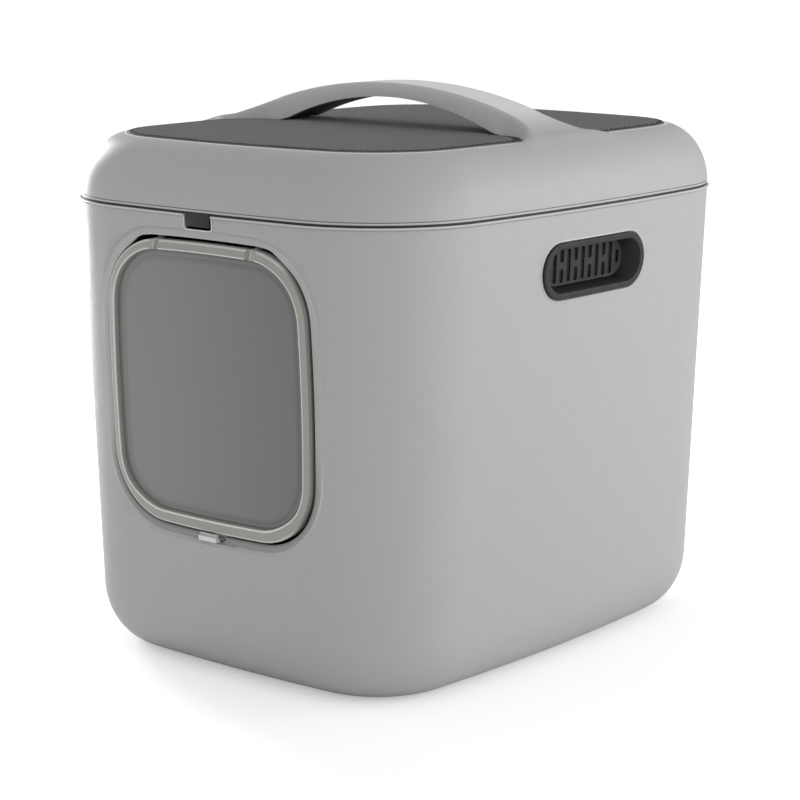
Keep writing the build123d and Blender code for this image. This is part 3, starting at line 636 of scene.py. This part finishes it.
def lid_rings(bed, normals, shares, within):
    """Rings up the bed's wall, over border and shoulder, round the lip and back up the inside to the ceiling's middle,
    and their painted light. within is 1 where the handle's foot covers the border, and there the painted light of bed
    wall and border fades out."""
    rows, wear, bare = [], [], 1 - within

    def add(plan, z, painted_tone=0.0):
        rows.append(flat(plan, z))
        wear.append(painted_tone + 0 * within)

    def plan_at(inset):
        return lid_outline(inset).outline(*shares)[0]

    for out, level, painted_tone in BED_WALL:
        plan = bed + out * normals
        add(plan, lid_top(*plan.T, mixed(level, LID_TOP, within)), painted_tone * bare)
    start = plan
    # Painted highlight on the border next to the bed's rounded edge.
    for share, painted_tone in ((0.2, 1), (0.4, 0.4), (0.6, 0), (0.8, 0)):
        plan = mixed(start, plan_at(BORDER_INSET), share)
        add(plan, lid_top(*plan.T, shoulder_height(*plan.T)), painted_tone * bare)
    height = LID_TOP - LID_BASE
    turn = np.linspace(np.arccos(1 - BORDER_INSET / SHOULDER), np.arcsin(SHOULDER_END / height), 17)
    for inset, z in zip(SHOULDER * (1 - np.cos(turn)), LID_BASE + height * np.sin(turn)):
        plan = plan_at(inset)
        add(plan, lid_top(*plan.T, z))
    for inset, z, painted_tone in LIP:
        add(plan_at(inset), z, painted_tone)
    turn = np.linspace(0, pi / 2, 12)[1:]
    ceiling = BED_FLOOR - WALL
    for inset, z in zip(WALL + (SHOULDER - WALL) * (1 - np.cos(turn)), LID_BASE + (ceiling - LID_BASE) * np.sin(turn)):
        add(plan_at(inset), z)
    for share in (0.6, 0.3, 0):
        add(plan_at(SHOULDER) * share, ceiling)
    return np.stack(rows), np.stack(wear)


def handle_half(foot, within):
    """The handle from the middle of its span to its foot's end on the bed's ring: its upper surface, its underside and
    the upper surface's painted highlights, along its lower edges and its crest."""
    x_end, y_end = foot[:, :2].T
    on_side = abs(y_end) > flat_half(x_end)
    share = np.where(on_side, side_share(x_end, y_end), 1.0)
    stations = np.concatenate((GRIP_END * np.sin(np.linspace(0, pi / 2, SPAN)), np.full(STRETCH, GRIP_END)))
    stretch = np.concatenate((np.zeros(SPAN), np.linspace(0, 1, STRETCH + 1)[1:]))[:, None]
    x = stations[:, None] + (x_end - GRIP_END) * stretch
    y, z = handle_side(x, share[None, :])
    y = np.where(on_side, y * np.sign(y_end), np.clip(y_end / flat_half(x_end), -1, 1) * flat_half(x))
    ground = mixed(BED_FLOOR, LID_TOP, stretch * within)
    z = np.where(x > FLARE_START, smooth_max(z, ground, foot_blend(x, y)), z)
    x[-1], y[-1], z[-1] = foot.T
    lower = 1.2 * rise((GRIP_END - stations) / 16)
    y[:, 0], y[:, -1] = y[:, 0] + lower, y[:, -1] - lower
    span = stations[:SPAN, None]
    below = np.stack(np.broadcast_arrays(span, y[:SPAN, -1:] * np.linspace(-1, 1, UNDER_COLUMNS), under(span)), -1)
    painted_highlight = (0.7 * (1 - share) + 0.85 * rise((share - 0.85) / 0.15)) * (1 - rise((x - 140) / 60))
    return np.stack((x, y, z), -1), below, painted_highlight


def lid_piece(material):
    """Lid and handle in one closed surface: the lid's rings, the handle's two halves, whose feet start from columns
    of the first ring, and the bed's floor, one face round both feet."""
    edge = foot_edge()
    further = np.linspace(edge, 165, 12)[1:]
    side = arc_shares(BED.side_radius, BED.ax, [*-further[::-1], *edge * np.linspace(-1, 1, FOOT_COLUMNS), *further])
    shares = (side, even(28), even(48), even(48))
    bed, normals = BED.outline(*shares)
    within = rise((foot_half(bed[:, 0]) - abs(bed[:, 1])) / 10)
    rings, wear = lid_rings(bed, normals, shares, within)
    skin = Skin()
    skin.grid(rings, around=True, wear=wear)
    row, mirror = rings[0], (-1, 1, 1)
    first = nearest(row, BED.edge_point(0.0)[0], -edge)
    last = first + FOOT_COLUMNS - 1
    half, below, painted_highlight = handle_half(row[first:last + 1], within[first:last + 1])
    # Painted shade under the arch, where the grip keeps the light off, with painted highlights at the lower edges.
    shade = np.broadcast_to(1.7 * np.linspace(-1, 1, UNDER_COLUMNS) ** 8 - 1, below.shape[:2])
    for sign in (1, -1):
        skin.grid(half * (sign, 1, 1), wear=painted_highlight)
        skin.grid(below * (sign, 1, 1), wear=shade)
    far_first, far_last = (nearest(row, -row[column, 0], row[column, 1]) for column in (last, first))
    left, right, middle = half[SPAN - 1:-1, 0], half[SPAN - 1:-1, -1], below[-1][1:-1]
    skin.face(np.concatenate((row[last:far_first + 1], right[::-1] * mirror, middle[::-1] * mirror, left * mirror,
                              row[far_last:], row[:first + 1], left[::-1], middle, right)))
    return skin.finish("lid_shell_piece", material, "lid", "lid_plastic", "lid_shell")


# ---- Liner frame ----
def liner_piece(material):
    """Flat clamping ring with a skirt into the tub and an upstand into the lid, one profile carried round; the tab is
    a rounded plate hung from its front edge."""
    profile = [(1.2, 464.3), (1.2, 466.7), (1.5, 466.3), (3.8, 466.3), (3.8, 470.4), (4.1, 470.7), (5.5, 470.7),
               (5.8, 470.4), (5.8, 466.3), (7.9, 466.3), (8.2, 466.7), (8.2, 464.3), (7.9, 464), (5.5, 464),
               (5.8, 455.5), (3.8, 455.5), (3.5, 464), (1.5, 464), (1.2, 464.3)]
    skin = Skin()
    skin.grid(carried(*TUB.outline(even(60), even(24), even(30), even(60)), *np.array(profile).T), around=True)

    def at_tab(x, z, out):
        return np.stack(np.broadcast_arrays(x, -HALF_DEPTH - out, z), -1)

    block(skin, at_tab, (-15.2, 15.2), (452.3, 466.1), (-2.3, 0.7), 0.9)
    return skin.finish("liner_frame_piece", material, "liner", "liner_plastic", "liner_frame")


# ---- Mat ----
def mat_line():
    """The mat's edge, once round: the bed's outline drawn in, cut back round the two feet, with its four sharp tips
    rounded by averaging each point with its neighbours there."""
    reach = np.linspace(GRIP_END - 5, 200, 26)
    upper = np.stack((reach, foot_half(reach) + MAT_GAP), -1)
    upper = upper[MAT.beyond(*upper.T) < -1.0]
    arc = MAT.outline(even(90), even(40), even(70), even(70))[0]
    arc = arc[arc[:, 1] > upper[-1, 1] + 2.0]
    arc = arc[np.argsort(np.arctan2(arc[:, 1], arc[:, 0]))]
    half = np.concatenate((upper, arc, (upper * (-1, 1))[::-1]))
    line = np.concatenate((half, -half))
    for _ in range(3):
        near = (np.roll(line, 1, 0) + np.roll(line, -1, 0)) / 2
        pull = np.hypot(*(near - line).T)
        line = np.where((pull > 0.25)[:, None] & (abs(line[:, :1]) > 190), mixed(line, near, 0.5), line)
    return line


def mat_piece(material):
    """Soft sheet with a rounded edge and a field of low square studs, four-sided frustums turned 45 degrees, in rows
    half a step apart; studs stop short of the edge."""
    line = mat_line()
    ahead, behind = np.roll(line, -1, 0) - line, line - np.roll(line, 1, 0)
    tangent = ahead / np.hypot(*ahead.T)[:, None] + behind / np.hypot(*behind.T)[:, None]
    tangent /= np.hypot(*tangent.T)[:, None]
    inward = np.stack((-tangent[:, 1], tangent[:, 0]), -1)
    edge = ((0.5, BED_FLOOR), (0, BED_FLOOR + 0.4), (0, MAT_TOP - 1.9), (0.15, MAT_TOP - 1.5), (0.5, MAT_TOP - 1.1),
            (1.1, MAT_TOP - 0.9))
    rings = [flat(line + inset * inward, z) for inset, z in edge]
    skin = Skin()
    # Painted shade along the mat's edge, in the gap by the bed wall, and over the whole floor between the studs.
    skin.grid(rings, around=True, wear=[0, 0, 0, -0.3, -0.6, -1])
    skin.face(rings[0])
    skin.face(rings[-1], wear=-1.0)
    pitch, base, crown, height, under_grip = 4.0, 1.75, 0.85, 0.85, 138.0
    row_reach, column_reach = 66, 51
    rows, columns = np.arange(-row_reach, row_reach + 1)[:, None], np.arange(-column_reach, column_reach + 1)
    x, y = ((columns + rows % 2 / 2) * pitch).ravel(), (rows * pitch + 0 * columns).ravel()
    margin = 5.0 + base
    inside = MAT.beyond(x, y) < -margin
    inside &= (abs(x) < under_grip - margin) | (abs(y) > foot_half(abs(x) + margin) + margin)
    centres = np.stack((x, y), -1)[inside][:, None]
    turn = np.arange(4) * pi / 2
    ring = np.stack((np.cos(turn), np.sin(turn)), -1)
    floor = MAT_TOP - 0.95
    corners = np.concatenate((flat(centres + base * ring, floor), flat(centres + crown * ring, floor + height)), 1)
    skin.cells(corners, [(0, 1, 5, 4), (1, 2, 6, 5), (2, 3, 7, 6), (3, 0, 4, 7), (4, 5, 6, 7), (3, 2, 1, 0)])
    return skin.finish("studded_mat", material, "lid", "mat_rubber", "lid_mat", sharp=60)


# ---- Flap ----
def flap_turns():
    """Directions of the normals round the flap, with points where the hinge caps start and end."""
    marks = []
    for place in (57.5, 57.8, 70.2, 70.5):
        on_end = pi / 2 - np.arcsin(place / FLAP.end_radius)
        marks.append(on_end if on_end > pi / 2 - FLAP.ay else np.arccos((place - FLAP.cx) / FLAP.corner))
    bends = (0, FLAP.ax, pi / 2 - FLAP.ay, pi / 2)
    quarter = [np.linspace(start, stop, count) for start, stop, count in zip(bends, bends[1:], (12, 34, 14))]
    quarter = np.unique(np.round(np.concatenate((*quarter, marks)), 9))
    half = np.concatenate((quarter, (pi - quarter)[::-1][1:]))
    return np.concatenate((half, (half + pi)[1:-1])), marks


TURNS, CAP_MARKS = flap_turns()
# Front of the band, from its rounded outer edge up a slope towards the pane and over a narrow lip, then its back:
# inset, out of the door's plane, painted light: painted highlights on the outer rounding and the lip, painted shade at
# the back's edge by the pane.
BAND_FRONT = [(1.4 * (1 - cos(t)), -1.4 * (1 - sin(t)), 0.5) for t in np.linspace(0, pi / 2, 5)]
BAND_FRONT += [(1.9, 0.05, 0.4), (2.4, 0.2, 0), (5.5, 1.3, 0), (8.1, 2.2, 0), (8.4, 2.4, 0.8), (8.8, 2.5, 1),
               (9.2, 2.4, 1), (9.5, 2.0, 0.5), (9.7, 1.2, 0)]
BAND_BACK = [(9.9, -3.3, -0.2), (8.3, -3.45, 0), (8.3, -9.7, 0), (8.0, -10, 0), (0.4, -10, 0), (0, -9.6, 0)]


def band_edge(angle, inset):
    """The flap's outline drawn in by an inset, 1.2 lower along its top; the band is a third wider at its bottom."""
    top, bottom = along(angle, 1), along(angle, -1)
    return FLAP.edge_point(angle, -inset * (1 + (0.33 * bottom - 0.02 * top) * (inset > 3)) - 1.2 * top)


def flap_frame_piece(material):
    """Band round the pane: one profile carried round the flap's outline. Where the hinge caps sit, the front is
    lowered by 1.5 between two doubled columns."""
    near, step = 1e-6, 1.5
    stop, start = CAP_MARKS[0], CAP_MARKS[3]
    angle = np.sort(np.concatenate((TURNS, (start, stop, pi - stop, pi - start))))
    low = np.zeros(len(angle), bool)
    for first, last in ((start, stop), (pi - stop, pi - start)):
        low |= (angle > first + near) & (angle < last - near)
        for limit, column in ((first, 1), (last, 0)):
            low[np.nonzero(abs(angle - limit) < near)[0][column]] = True
    rings, painted_tone = [], []
    for inset, out, wear in BAND_BACK[-1:] + BAND_FRONT + BAND_BACK:
        x, up = (band_edge(angle, inset) if out > -3.4 or inset < 1 else FLAP.edge_point(angle, -inset)).T
        rings.append(at_door(x, up, np.where(low & (out > -3), out - step, out)))
        # The outer rounding gets painted shade along the right side, where the gap shades it.
        painted_tone.append(wear - (inset < 2) * rise((np.cos(angle) - 0.5) / 0.4))
    skin = Skin()
    skin.grid(rings, around=True, wear=painted_tone)
    return skin.finish("flap_frame_piece", material, "flap", "flap_plastic", "flap_frame")


def hinge_cap_piece(side, material):
    """Cover over a hinge: the band's own front profile between two directions, closed by a flat back and two ends."""
    share = np.array([0, 0.02, 0.06, 0.1, 0.2, 0.35, 0.5, 0.65, 0.8, 0.9, 0.94, 0.98, 1])
    near = np.minimum(share, 1 - share)
    angle = mixed(CAP_MARKS[2], CAP_MARKS[1], share)
    angle = angle if side == "right" else pi - angle
    crown = 0.15 * np.sqrt(1 - (1 - np.minimum(near / 0.06, 1)) ** 2)
    front = [row[:2] for row in BAND_FRONT if row[0] > 0.8]
    rings = [at_door(*band_edge(angle, inset).T, out + crown - 0.2) for inset, out in front]
    rings += [at_door(*band_edge(angle, inset).T, out - 1.45) for inset, out in front[::-1]]
    strip = np.stack(rings + rings[:1])
    # Painted highlight a little in from each end and painted shade at the ends themselves.
    painted_tone = 0.75 * bell(near, 0.11, 0.05) - 0.6 * bell(near, 0, 0.04)
    skin = Skin()
    skin.grid(strip, wear=painted_tone[None])
    for end in (0, -1):
        skin.face(strip[:-1, end])
    return skin.finish(f"hinge_cover_{side}", material, "flap", "flap_plastic", f"hinge_cap_{side}")


def pane_piece(material):
    """Clear sheet clamped in the band: a slab with small rounded edges, drawn in to its middle front and back. Its
    border carries painted shade in bands, the frame's shadow on it, and the whole sheet is painted a little darker,
    more so towards +X, painted shade for the reflection's fall-off."""
    rings, wear = [], []
    for share, inset, out, painted_tone in (
        (0, 8.9, -6, 0), (0.5, 8.9, -6, 0), (1, 8.9, -6, 0), (1, 8.6, -5.7, 0), (1, 8.6, -3.8, 0), (1, 8.9, -3.5, -0.3),
        (1, 13, -3.5, -0.25), (1, 15.5, -3.5, 0.02), (1, 17.8, -3.5, -0.22), (1, 20, -3.5, -0.12), (1, 23, -3.5, 0),
        (0.5, 23, -3.5, 0), (0, 23, -3.5, 0),
    ):
        x, up = share * FLAP.edge_point(TURNS, -inset).T
        rings.append(at_door(x, up, out))
        # Painted shade: darker by 0.12 overall and a little more towards +X.
        wear.append(painted_tone - 0.12 - 0.0017 * x)
    skin = Skin()
    skin.grid(rings, around=True, wear=wear)
    return skin.finish("smoked_pane", material, "flap", "window_pane", "flap_window")


def rear_ring_piece(material):
    """Ring that clamps the pane from behind: an oblong profile carried round, notched behind each hinge pocket."""
    x, up = FLAP.edge_point(TURNS, -8.6).T
    least = np.where((abs(abs(x) - HINGE_X) < 4.2) & (up > 0), 10.4, 0)
    profile = ((9, -6), (12.4, -6), (12.8, -6.4), (12.8, -9.5), (12.3, -10), (9.1, -10), (8.6, -9.5), (8.6, -6.4),
               (9, -6))
    rings = [at_door(*FLAP.edge_point(TURNS, -np.maximum(inset, least)).T, out) for inset, out in profile]
    skin = Skin()
    skin.grid(rings, around=True)
    return skin.finish("pane_clamp_ring", material, "flap", "flap_plastic", "flap_rear_ring")


# ---- Latch ----
def latch_piece(material):
    """Thumb tab whose lower face stands proud of a thin brow, and behind the wall a web, a guide plate and a tongue:
    rounded blocks, and a side profile carried across for the tab."""
    side = np.array([(-151.4, 1.2), (-151.4, 4.6), (-151.25, 5.0), (-150.9, 5.2), (-147.2, 5.2), (-146.8, 5.05),
                     (-146.5, 4.7), (-146.1, 2.7), (-145.8, 2.5), (-144.2, 2.5), (-143.9, 2.2), (-143.9, 1.2)])
    middle = side.mean(0)
    rows = []
    for share, x in ((0, -15.2), (0.9, -15.2), (1, -14.8), (1, 7.9), (0.9, 8.3), (0, 8.3)):
        rows.append(at_door(x, *mixed(middle, side, share).T))
    # Painted shade on the thin brow next to the flap.
    shade = np.where((side[:, 0] > -146.6) & (side[:, 1] > 2), -0.35, 0)
    skin = Skin()
    skin.grid(rows, around=True, wear=shade[None])
    block(skin, at_door, (-9, 7), (-152.2, -149), (-8.3, 1.5), 0.5)
    block(skin, at_door, (-17, 17), (-169, -149), (-8.3, -5.8), 0.6)
    block(skin, at_door, (-9, 9), (-160.2, -149.5), (-13, -8.0), 0.5)
    block(skin, at_door, (-9, 9), (-160.2, -144.2), (-13, -10.5), 0.8)
    return skin.finish("slide_latch", material, "latch", "latch_plastic", "latch_slider")


# ---- Side vents ----
def punched(skin, place, outer, holes, top, bottom):
    """A flat plate with holes: its two faces are filled between the outline and the holes, and walls join them."""
    sheet = bmesh.new()
    for loop in (outer, *holes):
        corners = [sheet.verts.new((u, v, 0)) for u, v in loop]
        for first, second in zip(corners, corners[1:] + corners[:1]):
            sheet.edges.new((first, second))
    bmesh.ops.triangle_fill(sheet, use_beauty=True, edges=sheet.edges[:], normal=(0, 0, 1))
    sheet.verts.index_update()
    plan = np.array([corner.co[:2] for corner in sheet.verts])
    faces = [[corner.index for corner in face.verts] for face in sheet.faces]
    sheet.free()
    for depth in (top, bottom):
        skin.cells(place(*plan.T, depth)[None], faces)
    for loop in holes:
        skin.grid([place(*loop.T, depth) for depth in (top, bottom)], around=True)


def grille_slots():
    """Slots of the grille: long ones with split pairs between them, and one short slot at each end."""
    slots = []
    for column in range(-5, 6):
        long = abs(column) < 5 and column % 2 == 0
        rows = (1.6,) if long or abs(column) == 5 else (-8.3, 11.5)
        ring = slot_ring(33 if long else 13.9, 6, 6)[:, ::-1]
        slots += [ring + (column * 11.8 - 1.5, row) for row in rows]
    return slots


def vent_piece(side, material):
    """Grip cup with a grille: rings of slot outlines run from the flange's back over its rounded rim, down the cup's
    tapering wall to the floor and back up behind it; the floor is a punched plate. A ring has length, height, out of
    the vent's plane, shift up and painted shade, which darkens the cup's deep wall nearly to black where little light
    reaches it."""
    skin = Skin()

    def place(across, up, out):
        return at_vent(SIGN[side], across, up, out)

    front = [(159.3, 46.9, SEAT_OUT, 0, 0), (170.4, 55.4, SEAT_OUT, 0, 0), (170.8, 55.8, -1.4, 0, 0)]
    for turn in np.linspace(0, pi / 2, 5):
        drawn_in = 2.4 * (1 - cos(turn))
        front.append((170.8 - drawn_in, 55.8 - drawn_in, 0.2 + 1.2 * sin(turn), 0, 0))
    front += [(157.5, 45.1, 1.4, 0, 0), (156.2, 43.8, 1.2, 0, 0), (155.3, 42.9, 0.6, 0, -0.3),
              (132.5, 37.4, -13, 1.1, -0.95), (131, 37, -13.6, 1.2, -0.95), (130, 36, -13.8, 1.2, -0.3)]
    back = [(159.3, 46.9, SEAT_OUT, 0, 0), (134.2, 42.2, -14.4, 0.6, 0), (133.6, 41.6, -14.6, 0.6, 0),
            (130, 36, -14.6, 1.2, 0)]
    for profile in (front, back):
        rings = [place(*(slot_ring(length, height) + (0, up)).T, out) for length, height, out, up, _ in profile]
        skin.grid(rings, around=True, wear=[row[4] for row in profile])
    punched(skin, place, slot_ring(130, 36) + (0, 1.2), grille_slots(), -13.8, -14.6)
    return skin.finish(f"vent_cup_{side}", material, "tub", "vent_plastic", f"vent_insert_{side}")


def pad_piece(side, material):
    """Filter pad: a slot-shaped slab of fibre whose faces swell by 0.8 towards the middle."""
    rings = []
    for share, out in ((0, -23.1), (0.5, -23.0), (0.9, -22.7), (1, -21.6), (1, -16.4), (0.9, -15.3), (0.5, -15.0),
                       (0, -14.95)):
        rings.append(at_vent(SIGN[side], *slot_ring(128, 36, 20).T * share, out))
    skin = Skin()
    skin.grid(rings, around=True)
    pad = skin.finish(f"fibre_pad_{side}", material, f"filter_{side}", "filter_foam", f"filter_pad_{side}", sharp=60)
    return pad


# ---- Materials ----
def linear(colour):
    """sRGB hex to linear RGBA."""
    parts = np.array([int(colour[i:i + 2], 16) for i in (1, 3, 5)]) / 255
    parts = np.where(parts <= 0.04045, parts / 12.92, ((parts + 0.055) / 1.055) ** 2.4)
    return (*parts.tolist(), 1.0)


def add_node(tree, kind, links=(), inputs=(), **settings):
    """Adds a node, sets its settings and input values, and links other nodes' outputs to its inputs."""
    new = tree.nodes.new(kind)
    for key, value in settings.items():
        setattr(new, key, value)
    for key, value in dict(inputs).items():
        new.inputs[key].default_value = value
    for key, output in dict(links).items():
        tree.links.new(output, new.inputs[key])
    return new


def moulded(name, colour, other, painted_tone, roughness, grain, depth, mottle=12.0, **sockets):
    """A moulded plastic: two near colours in slow patches, a fine eroded grain as bump, both of a given size in mm, and
    a roughness that varies a little with the patches. The painted light attribute paints light and shade into the
    colour: painted highlights turn it towards a paler colour, painted shade darkens it."""
    spread, shade_share = 0.05, 0.12
    material = bpy.data.materials.new(name)
    material.use_nodes = True
    tree = material.node_tree
    tree.nodes.clear()
    place = add_node(tree, "ShaderNodeTexCoord").outputs["Object"]
    slow = add_node(tree, "ShaderNodeTexNoise", {"Vector": place}, {"Scale": 1 / (mottle * MM), "Detail": 3.0})
    fine = add_node(tree, "ShaderNodeTexNoise", {"Vector": place}, {"Scale": 1 / (grain * MM), "Detail": 2.0})
    wear = add_node(tree, "ShaderNodeAttribute", attribute_name="wear").outputs["Fac"]
    # Painted shade below 0 darkens the colour towards 0.12 of itself; a painted highlight above 0 turns it to the paler
    # colour.
    shade_amount = add_node(tree, "ShaderNodeMath", {0: wear}, {1: -1.0}, operation="MULTIPLY", use_clamp=True)
    tint = add_node(tree, "ShaderNodeMix", {"Factor": slow.outputs["Fac"]}, data_type="RGBA")
    highlighted = add_node(tree, "ShaderNodeMix", {"Factor": wear, "A": tint.outputs["Result"]}, data_type="RGBA")
    final = add_node(tree, "ShaderNodeMix", {"Factor": shade_amount.outputs[0], "A": highlighted.outputs["Result"]},
                     data_type="RGBA")
    tint.inputs["A"].default_value, tint.inputs["B"].default_value = linear(colour), linear(other)
    highlighted.inputs["B"].default_value = linear(painted_tone)
    final.inputs["B"].default_value = (*[shade_share * part for part in linear(colour)[:3]], 1.0)
    rough = add_node(tree, "ShaderNodeMapRange", {"Value": slow.outputs["Fac"]},
                     {"From Min": 0.3, "From Max": 0.7, "To Min": roughness - spread, "To Max": roughness + spread})
    bump = add_node(tree, "ShaderNodeBump", {"Height": fine.outputs["Fac"]}, {"Strength": 1.0, "Distance": depth * MM})
    shader = add_node(tree, "ShaderNodeBsdfPrincipled", {"Base Color": final.outputs["Result"],
                      "Roughness": rough.outputs["Result"], "Normal": bump.outputs["Normal"]}, sockets)
    add_node(tree, "ShaderNodeOutputMaterial", {"Surface": shader.outputs["BSDF"]})
    return material


# Each finish's third colour is the paler one that painted highlights turn to.
# Injection-moulded polypropylene, spark-eroded mould: an even light grey with a soft satin spread, no sharp gloss.
# The grain is really about 0.3 mm and is drawn at 0.9 mm so that it shows.
light_plastic = moulded("light_grey_moulded_polypropylene", "#B9B9B9", "#B6B6B6", "#F0F0F0", 0.46, 0.9, 0.02, IOR=1.49)
# The same plastic pigmented charcoal: near black, its satin only shows on rounded edges.
dark_plastic = moulded("charcoal_moulded_polypropylene", "#313132", "#2F2F30", "#606061", 0.5, 0.9, 0.02,
                       **{"Specular IOR Level": 0.25})
# The liner frame's polypropylene, a copy of the charcoal made a little darker so that the seam reads as a fine dark
# line: part of the seam's shade is painted into this colour.
seam_plastic = moulded("charcoal_liner_polypropylene", "#29292A", "#262627", "#4A4A4B", 0.5, 0.9, 0.02, IOR=1.49)
# Moulded ABS of the flap, a warmer grey than the tub and slightly smoother, so its rounded rim carries a highlight.
warm_plastic = moulded("warm_grey_moulded_abs", "#A9AAA3", "#A6A7A0", "#F2F2EE", 0.38, 0.8, 0.015, IOR=1.53)
# Moulded acetal of the latch: pale grey and smooth, so that a thumb slides it easily.
pale_plastic = moulded("pale_grey_moulded_acetal", "#EDEDED", "#EAEAEA", "#FFFFFF", 0.34, 0.7, 0.01, IOR=1.48)
# Thermoplastic rubber of the mat: dark grey, nearly matt, a dusty sheen at low angles.
mat_rubber = moulded("dark_grey_thermoplastic_rubber", "#858586", "#808181", "#A8A8A8", 0.75, 0.8, 0.04,
                     **{"Specular IOR Level": 0.2})
# Smoked polycarbonate with a frosted back: an even grey with a soft reflection, nothing is seen through it.
smoked = moulded("smoked_frosted_polycarbonate", "#8C8C8C", "#8A8A8A", "#B0B0B0", 0.22, 1.2, 0.004, IOR=1.586)
# Drawn steel wire: bare metal.
steel = moulded("drawn_steel_wire", "#B4B4B2", "#A8A8A6", "#C8C8C6", 0.32, 0.5, 0.01, Metallic=1.0)
# Needled fibre filled with carbon: black, soft and quite matt.
fibre = moulded("black_carbon_fibre_pad", "#3A3A3A", "#040404", "#505050", 0.9, 1.6, 0.35, mottle=2.5,
                **{"Specular IOR Level": 0.1})

tub_shell(light_plastic)
lid_piece(light_plastic)
liner_piece(seam_plastic)
mat_piece(mat_rubber)
flap_frame_piece(warm_plastic)
pane_piece(smoked)
rear_ring_piece(warm_plastic)
latch_piece(pale_plastic)
for side in ("left", "right"):
    hinge_cap_piece(side, warm_plastic)
    vent_piece(side, dark_plastic)
    pad_piece(side, fibre)

FINISHES = (
    (light_plastic, ("body_shell", "lid_shell")),
    (seam_plastic, ("liner_frame",)),
    (mat_rubber, ("lid_mat",)),
    (warm_plastic, ("flap_frame", "flap_rear_ring", "hinge_cap_left", "hinge_cap_right")),
    (smoked, ("flap_window",)),
    (steel, ("hinge_pin_left", "hinge_pin_right", "latch_screws")),
    (pale_plastic, ("latch_slider",)),
    (dark_plastic, ("latch_keeper", "vent_insert_left", "vent_insert_right", "filter_cover_left",
                    "filter_cover_right")),
    (fibre, ("filter_pad_left", "filter_pad_right")),
)
for finish, nodes in FINISHES:
    for node in nodes:
        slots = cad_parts[node].data.materials
        slots.clear()
        slots.append(finish)


# ---- Floor, light and camera, in metres ----
def pale_floor():
    """A wide white sheet under the box. It glows a little towards the camera, more so away from the box, so that
    only the shadow shows."""
    half = 9
    material = bpy.data.materials.new("white_paper_sweep")
    material.use_nodes = True
    tree = material.node_tree
    shader = tree.nodes["Principled BSDF"]
    for socket, value in (("Base Color", linear("#FAFAFA")), ("Roughness", 0.9), ("Specular IOR Level", 0.0),
                          ("Emission Color", (1, 1, 1, 1))):
        shader.inputs[socket].default_value = value
    place = add_node(tree, "ShaderNodeNewGeometry").outputs["Position"]
    away = add_node(tree, "ShaderNodeVectorMath", {0: place}, operation="LENGTH").outputs["Value"]
    level = add_node(tree, "ShaderNodeMapRange", {"Value": away},
                     {"From Min": 1.0, "From Max": 2.5, "To Min": 0.37, "To Max": 0.5}).outputs["Result"]
    seen = add_node(tree, "ShaderNodeLightPath").outputs["Is Camera Ray"]
    glow = add_node(tree, "ShaderNodeMath", {0: seen, 1: level}, operation="MULTIPLY")
    tree.links.new(glow.outputs[0], shader.inputs["Emission Strength"])
    mesh = bpy.data.meshes.new("floor")
    mesh.from_pydata([(-half, -half, 0), (half, -half, 0), (half, half, 0), (-half, half, 0)], [], [(0, 1, 2, 3)])
    mesh.materials.append(material)
    in_scene("floor", mesh)


def facing_turn(place, target):
    """Rotation that points an object's -Z from a place at a target."""
    return (Vector(target) - Vector(place)).to_track_quat("-Z", "Y")


def studio():
    """White world, seen as background, and four soft boxes: two on the right, a weak one on the left and a strong
    narrow one behind the left side, which lights the rim there."""
    world = bpy.data.worlds.new("studio")
    bpy.context.scene.world = world
    world.use_nodes = True
    tree = world.node_tree
    seen = add_node(tree, "ShaderNodeLightPath").outputs["Is Camera Ray"]
    strength = add_node(tree, "ShaderNodeMapRange", {"Value": seen}, {"To Min": 0.605, "To Max": 1.0})
    background = tree.nodes["Background"]
    background.inputs["Color"].default_value = (1, 1, 1, 1)
    tree.links.new(strength.outputs["Result"], background.inputs["Strength"])
    for name, place, size, watts in (
        ("right_box", (2.7, 0.3, 0.6), (1.6, 1.6), 13.5), ("right_back_box", (2.0, 2.0, 0.9), (1.6, 1.6), 17),
        ("left_box", (-2.6, -0.6, 0.6), (0.8, 1.6), 2), ("left_rim_box", (-2.8, 0.8, 0.7), (0.6, 1.4), 75),
    ):
        light = bpy.data.lights.new(name, "AREA")
        light.shape, light.size, light.size_y, light.energy = "RECTANGLE", *size, watts
        lamp = in_scene(name, light)
        lamp.location = place
        lamp.rotation_euler = facing_turn(place, (0, 0, 0.3)).to_euler()


def main_camera():
    """A 107.6 mm lens 2.53 m from a point on the box's middle line, 39.4 degrees round to the right, 11.1 up."""
    yaw, pitch, roll, distance, target = radians(39.362), radians(11.14), radians(0.093), 2.53368, Vector((0, 0, 0.25))
    camera = bpy.data.cameras.new("camera")
    camera.lens, camera.sensor_width, camera.shift_x, camera.shift_y = 107.58, 36, -0.0023, -0.0134
    holder = in_scene("camera", camera)
    place = Vector((cos(pitch) * sin(yaw), -cos(pitch) * cos(yaw), sin(pitch))) * distance + target
    turned = facing_turn(place, target).to_matrix().to_4x4()
    holder.matrix_world = Matrix.Translation(place) @ turned @ Matrix.Rotation(roll, 4, "Z")
    bpy.context.scene.camera = holder


pale_floor()
studio()
main_camera()
bpy.context.scene.view_settings.view_transform = "Standard"
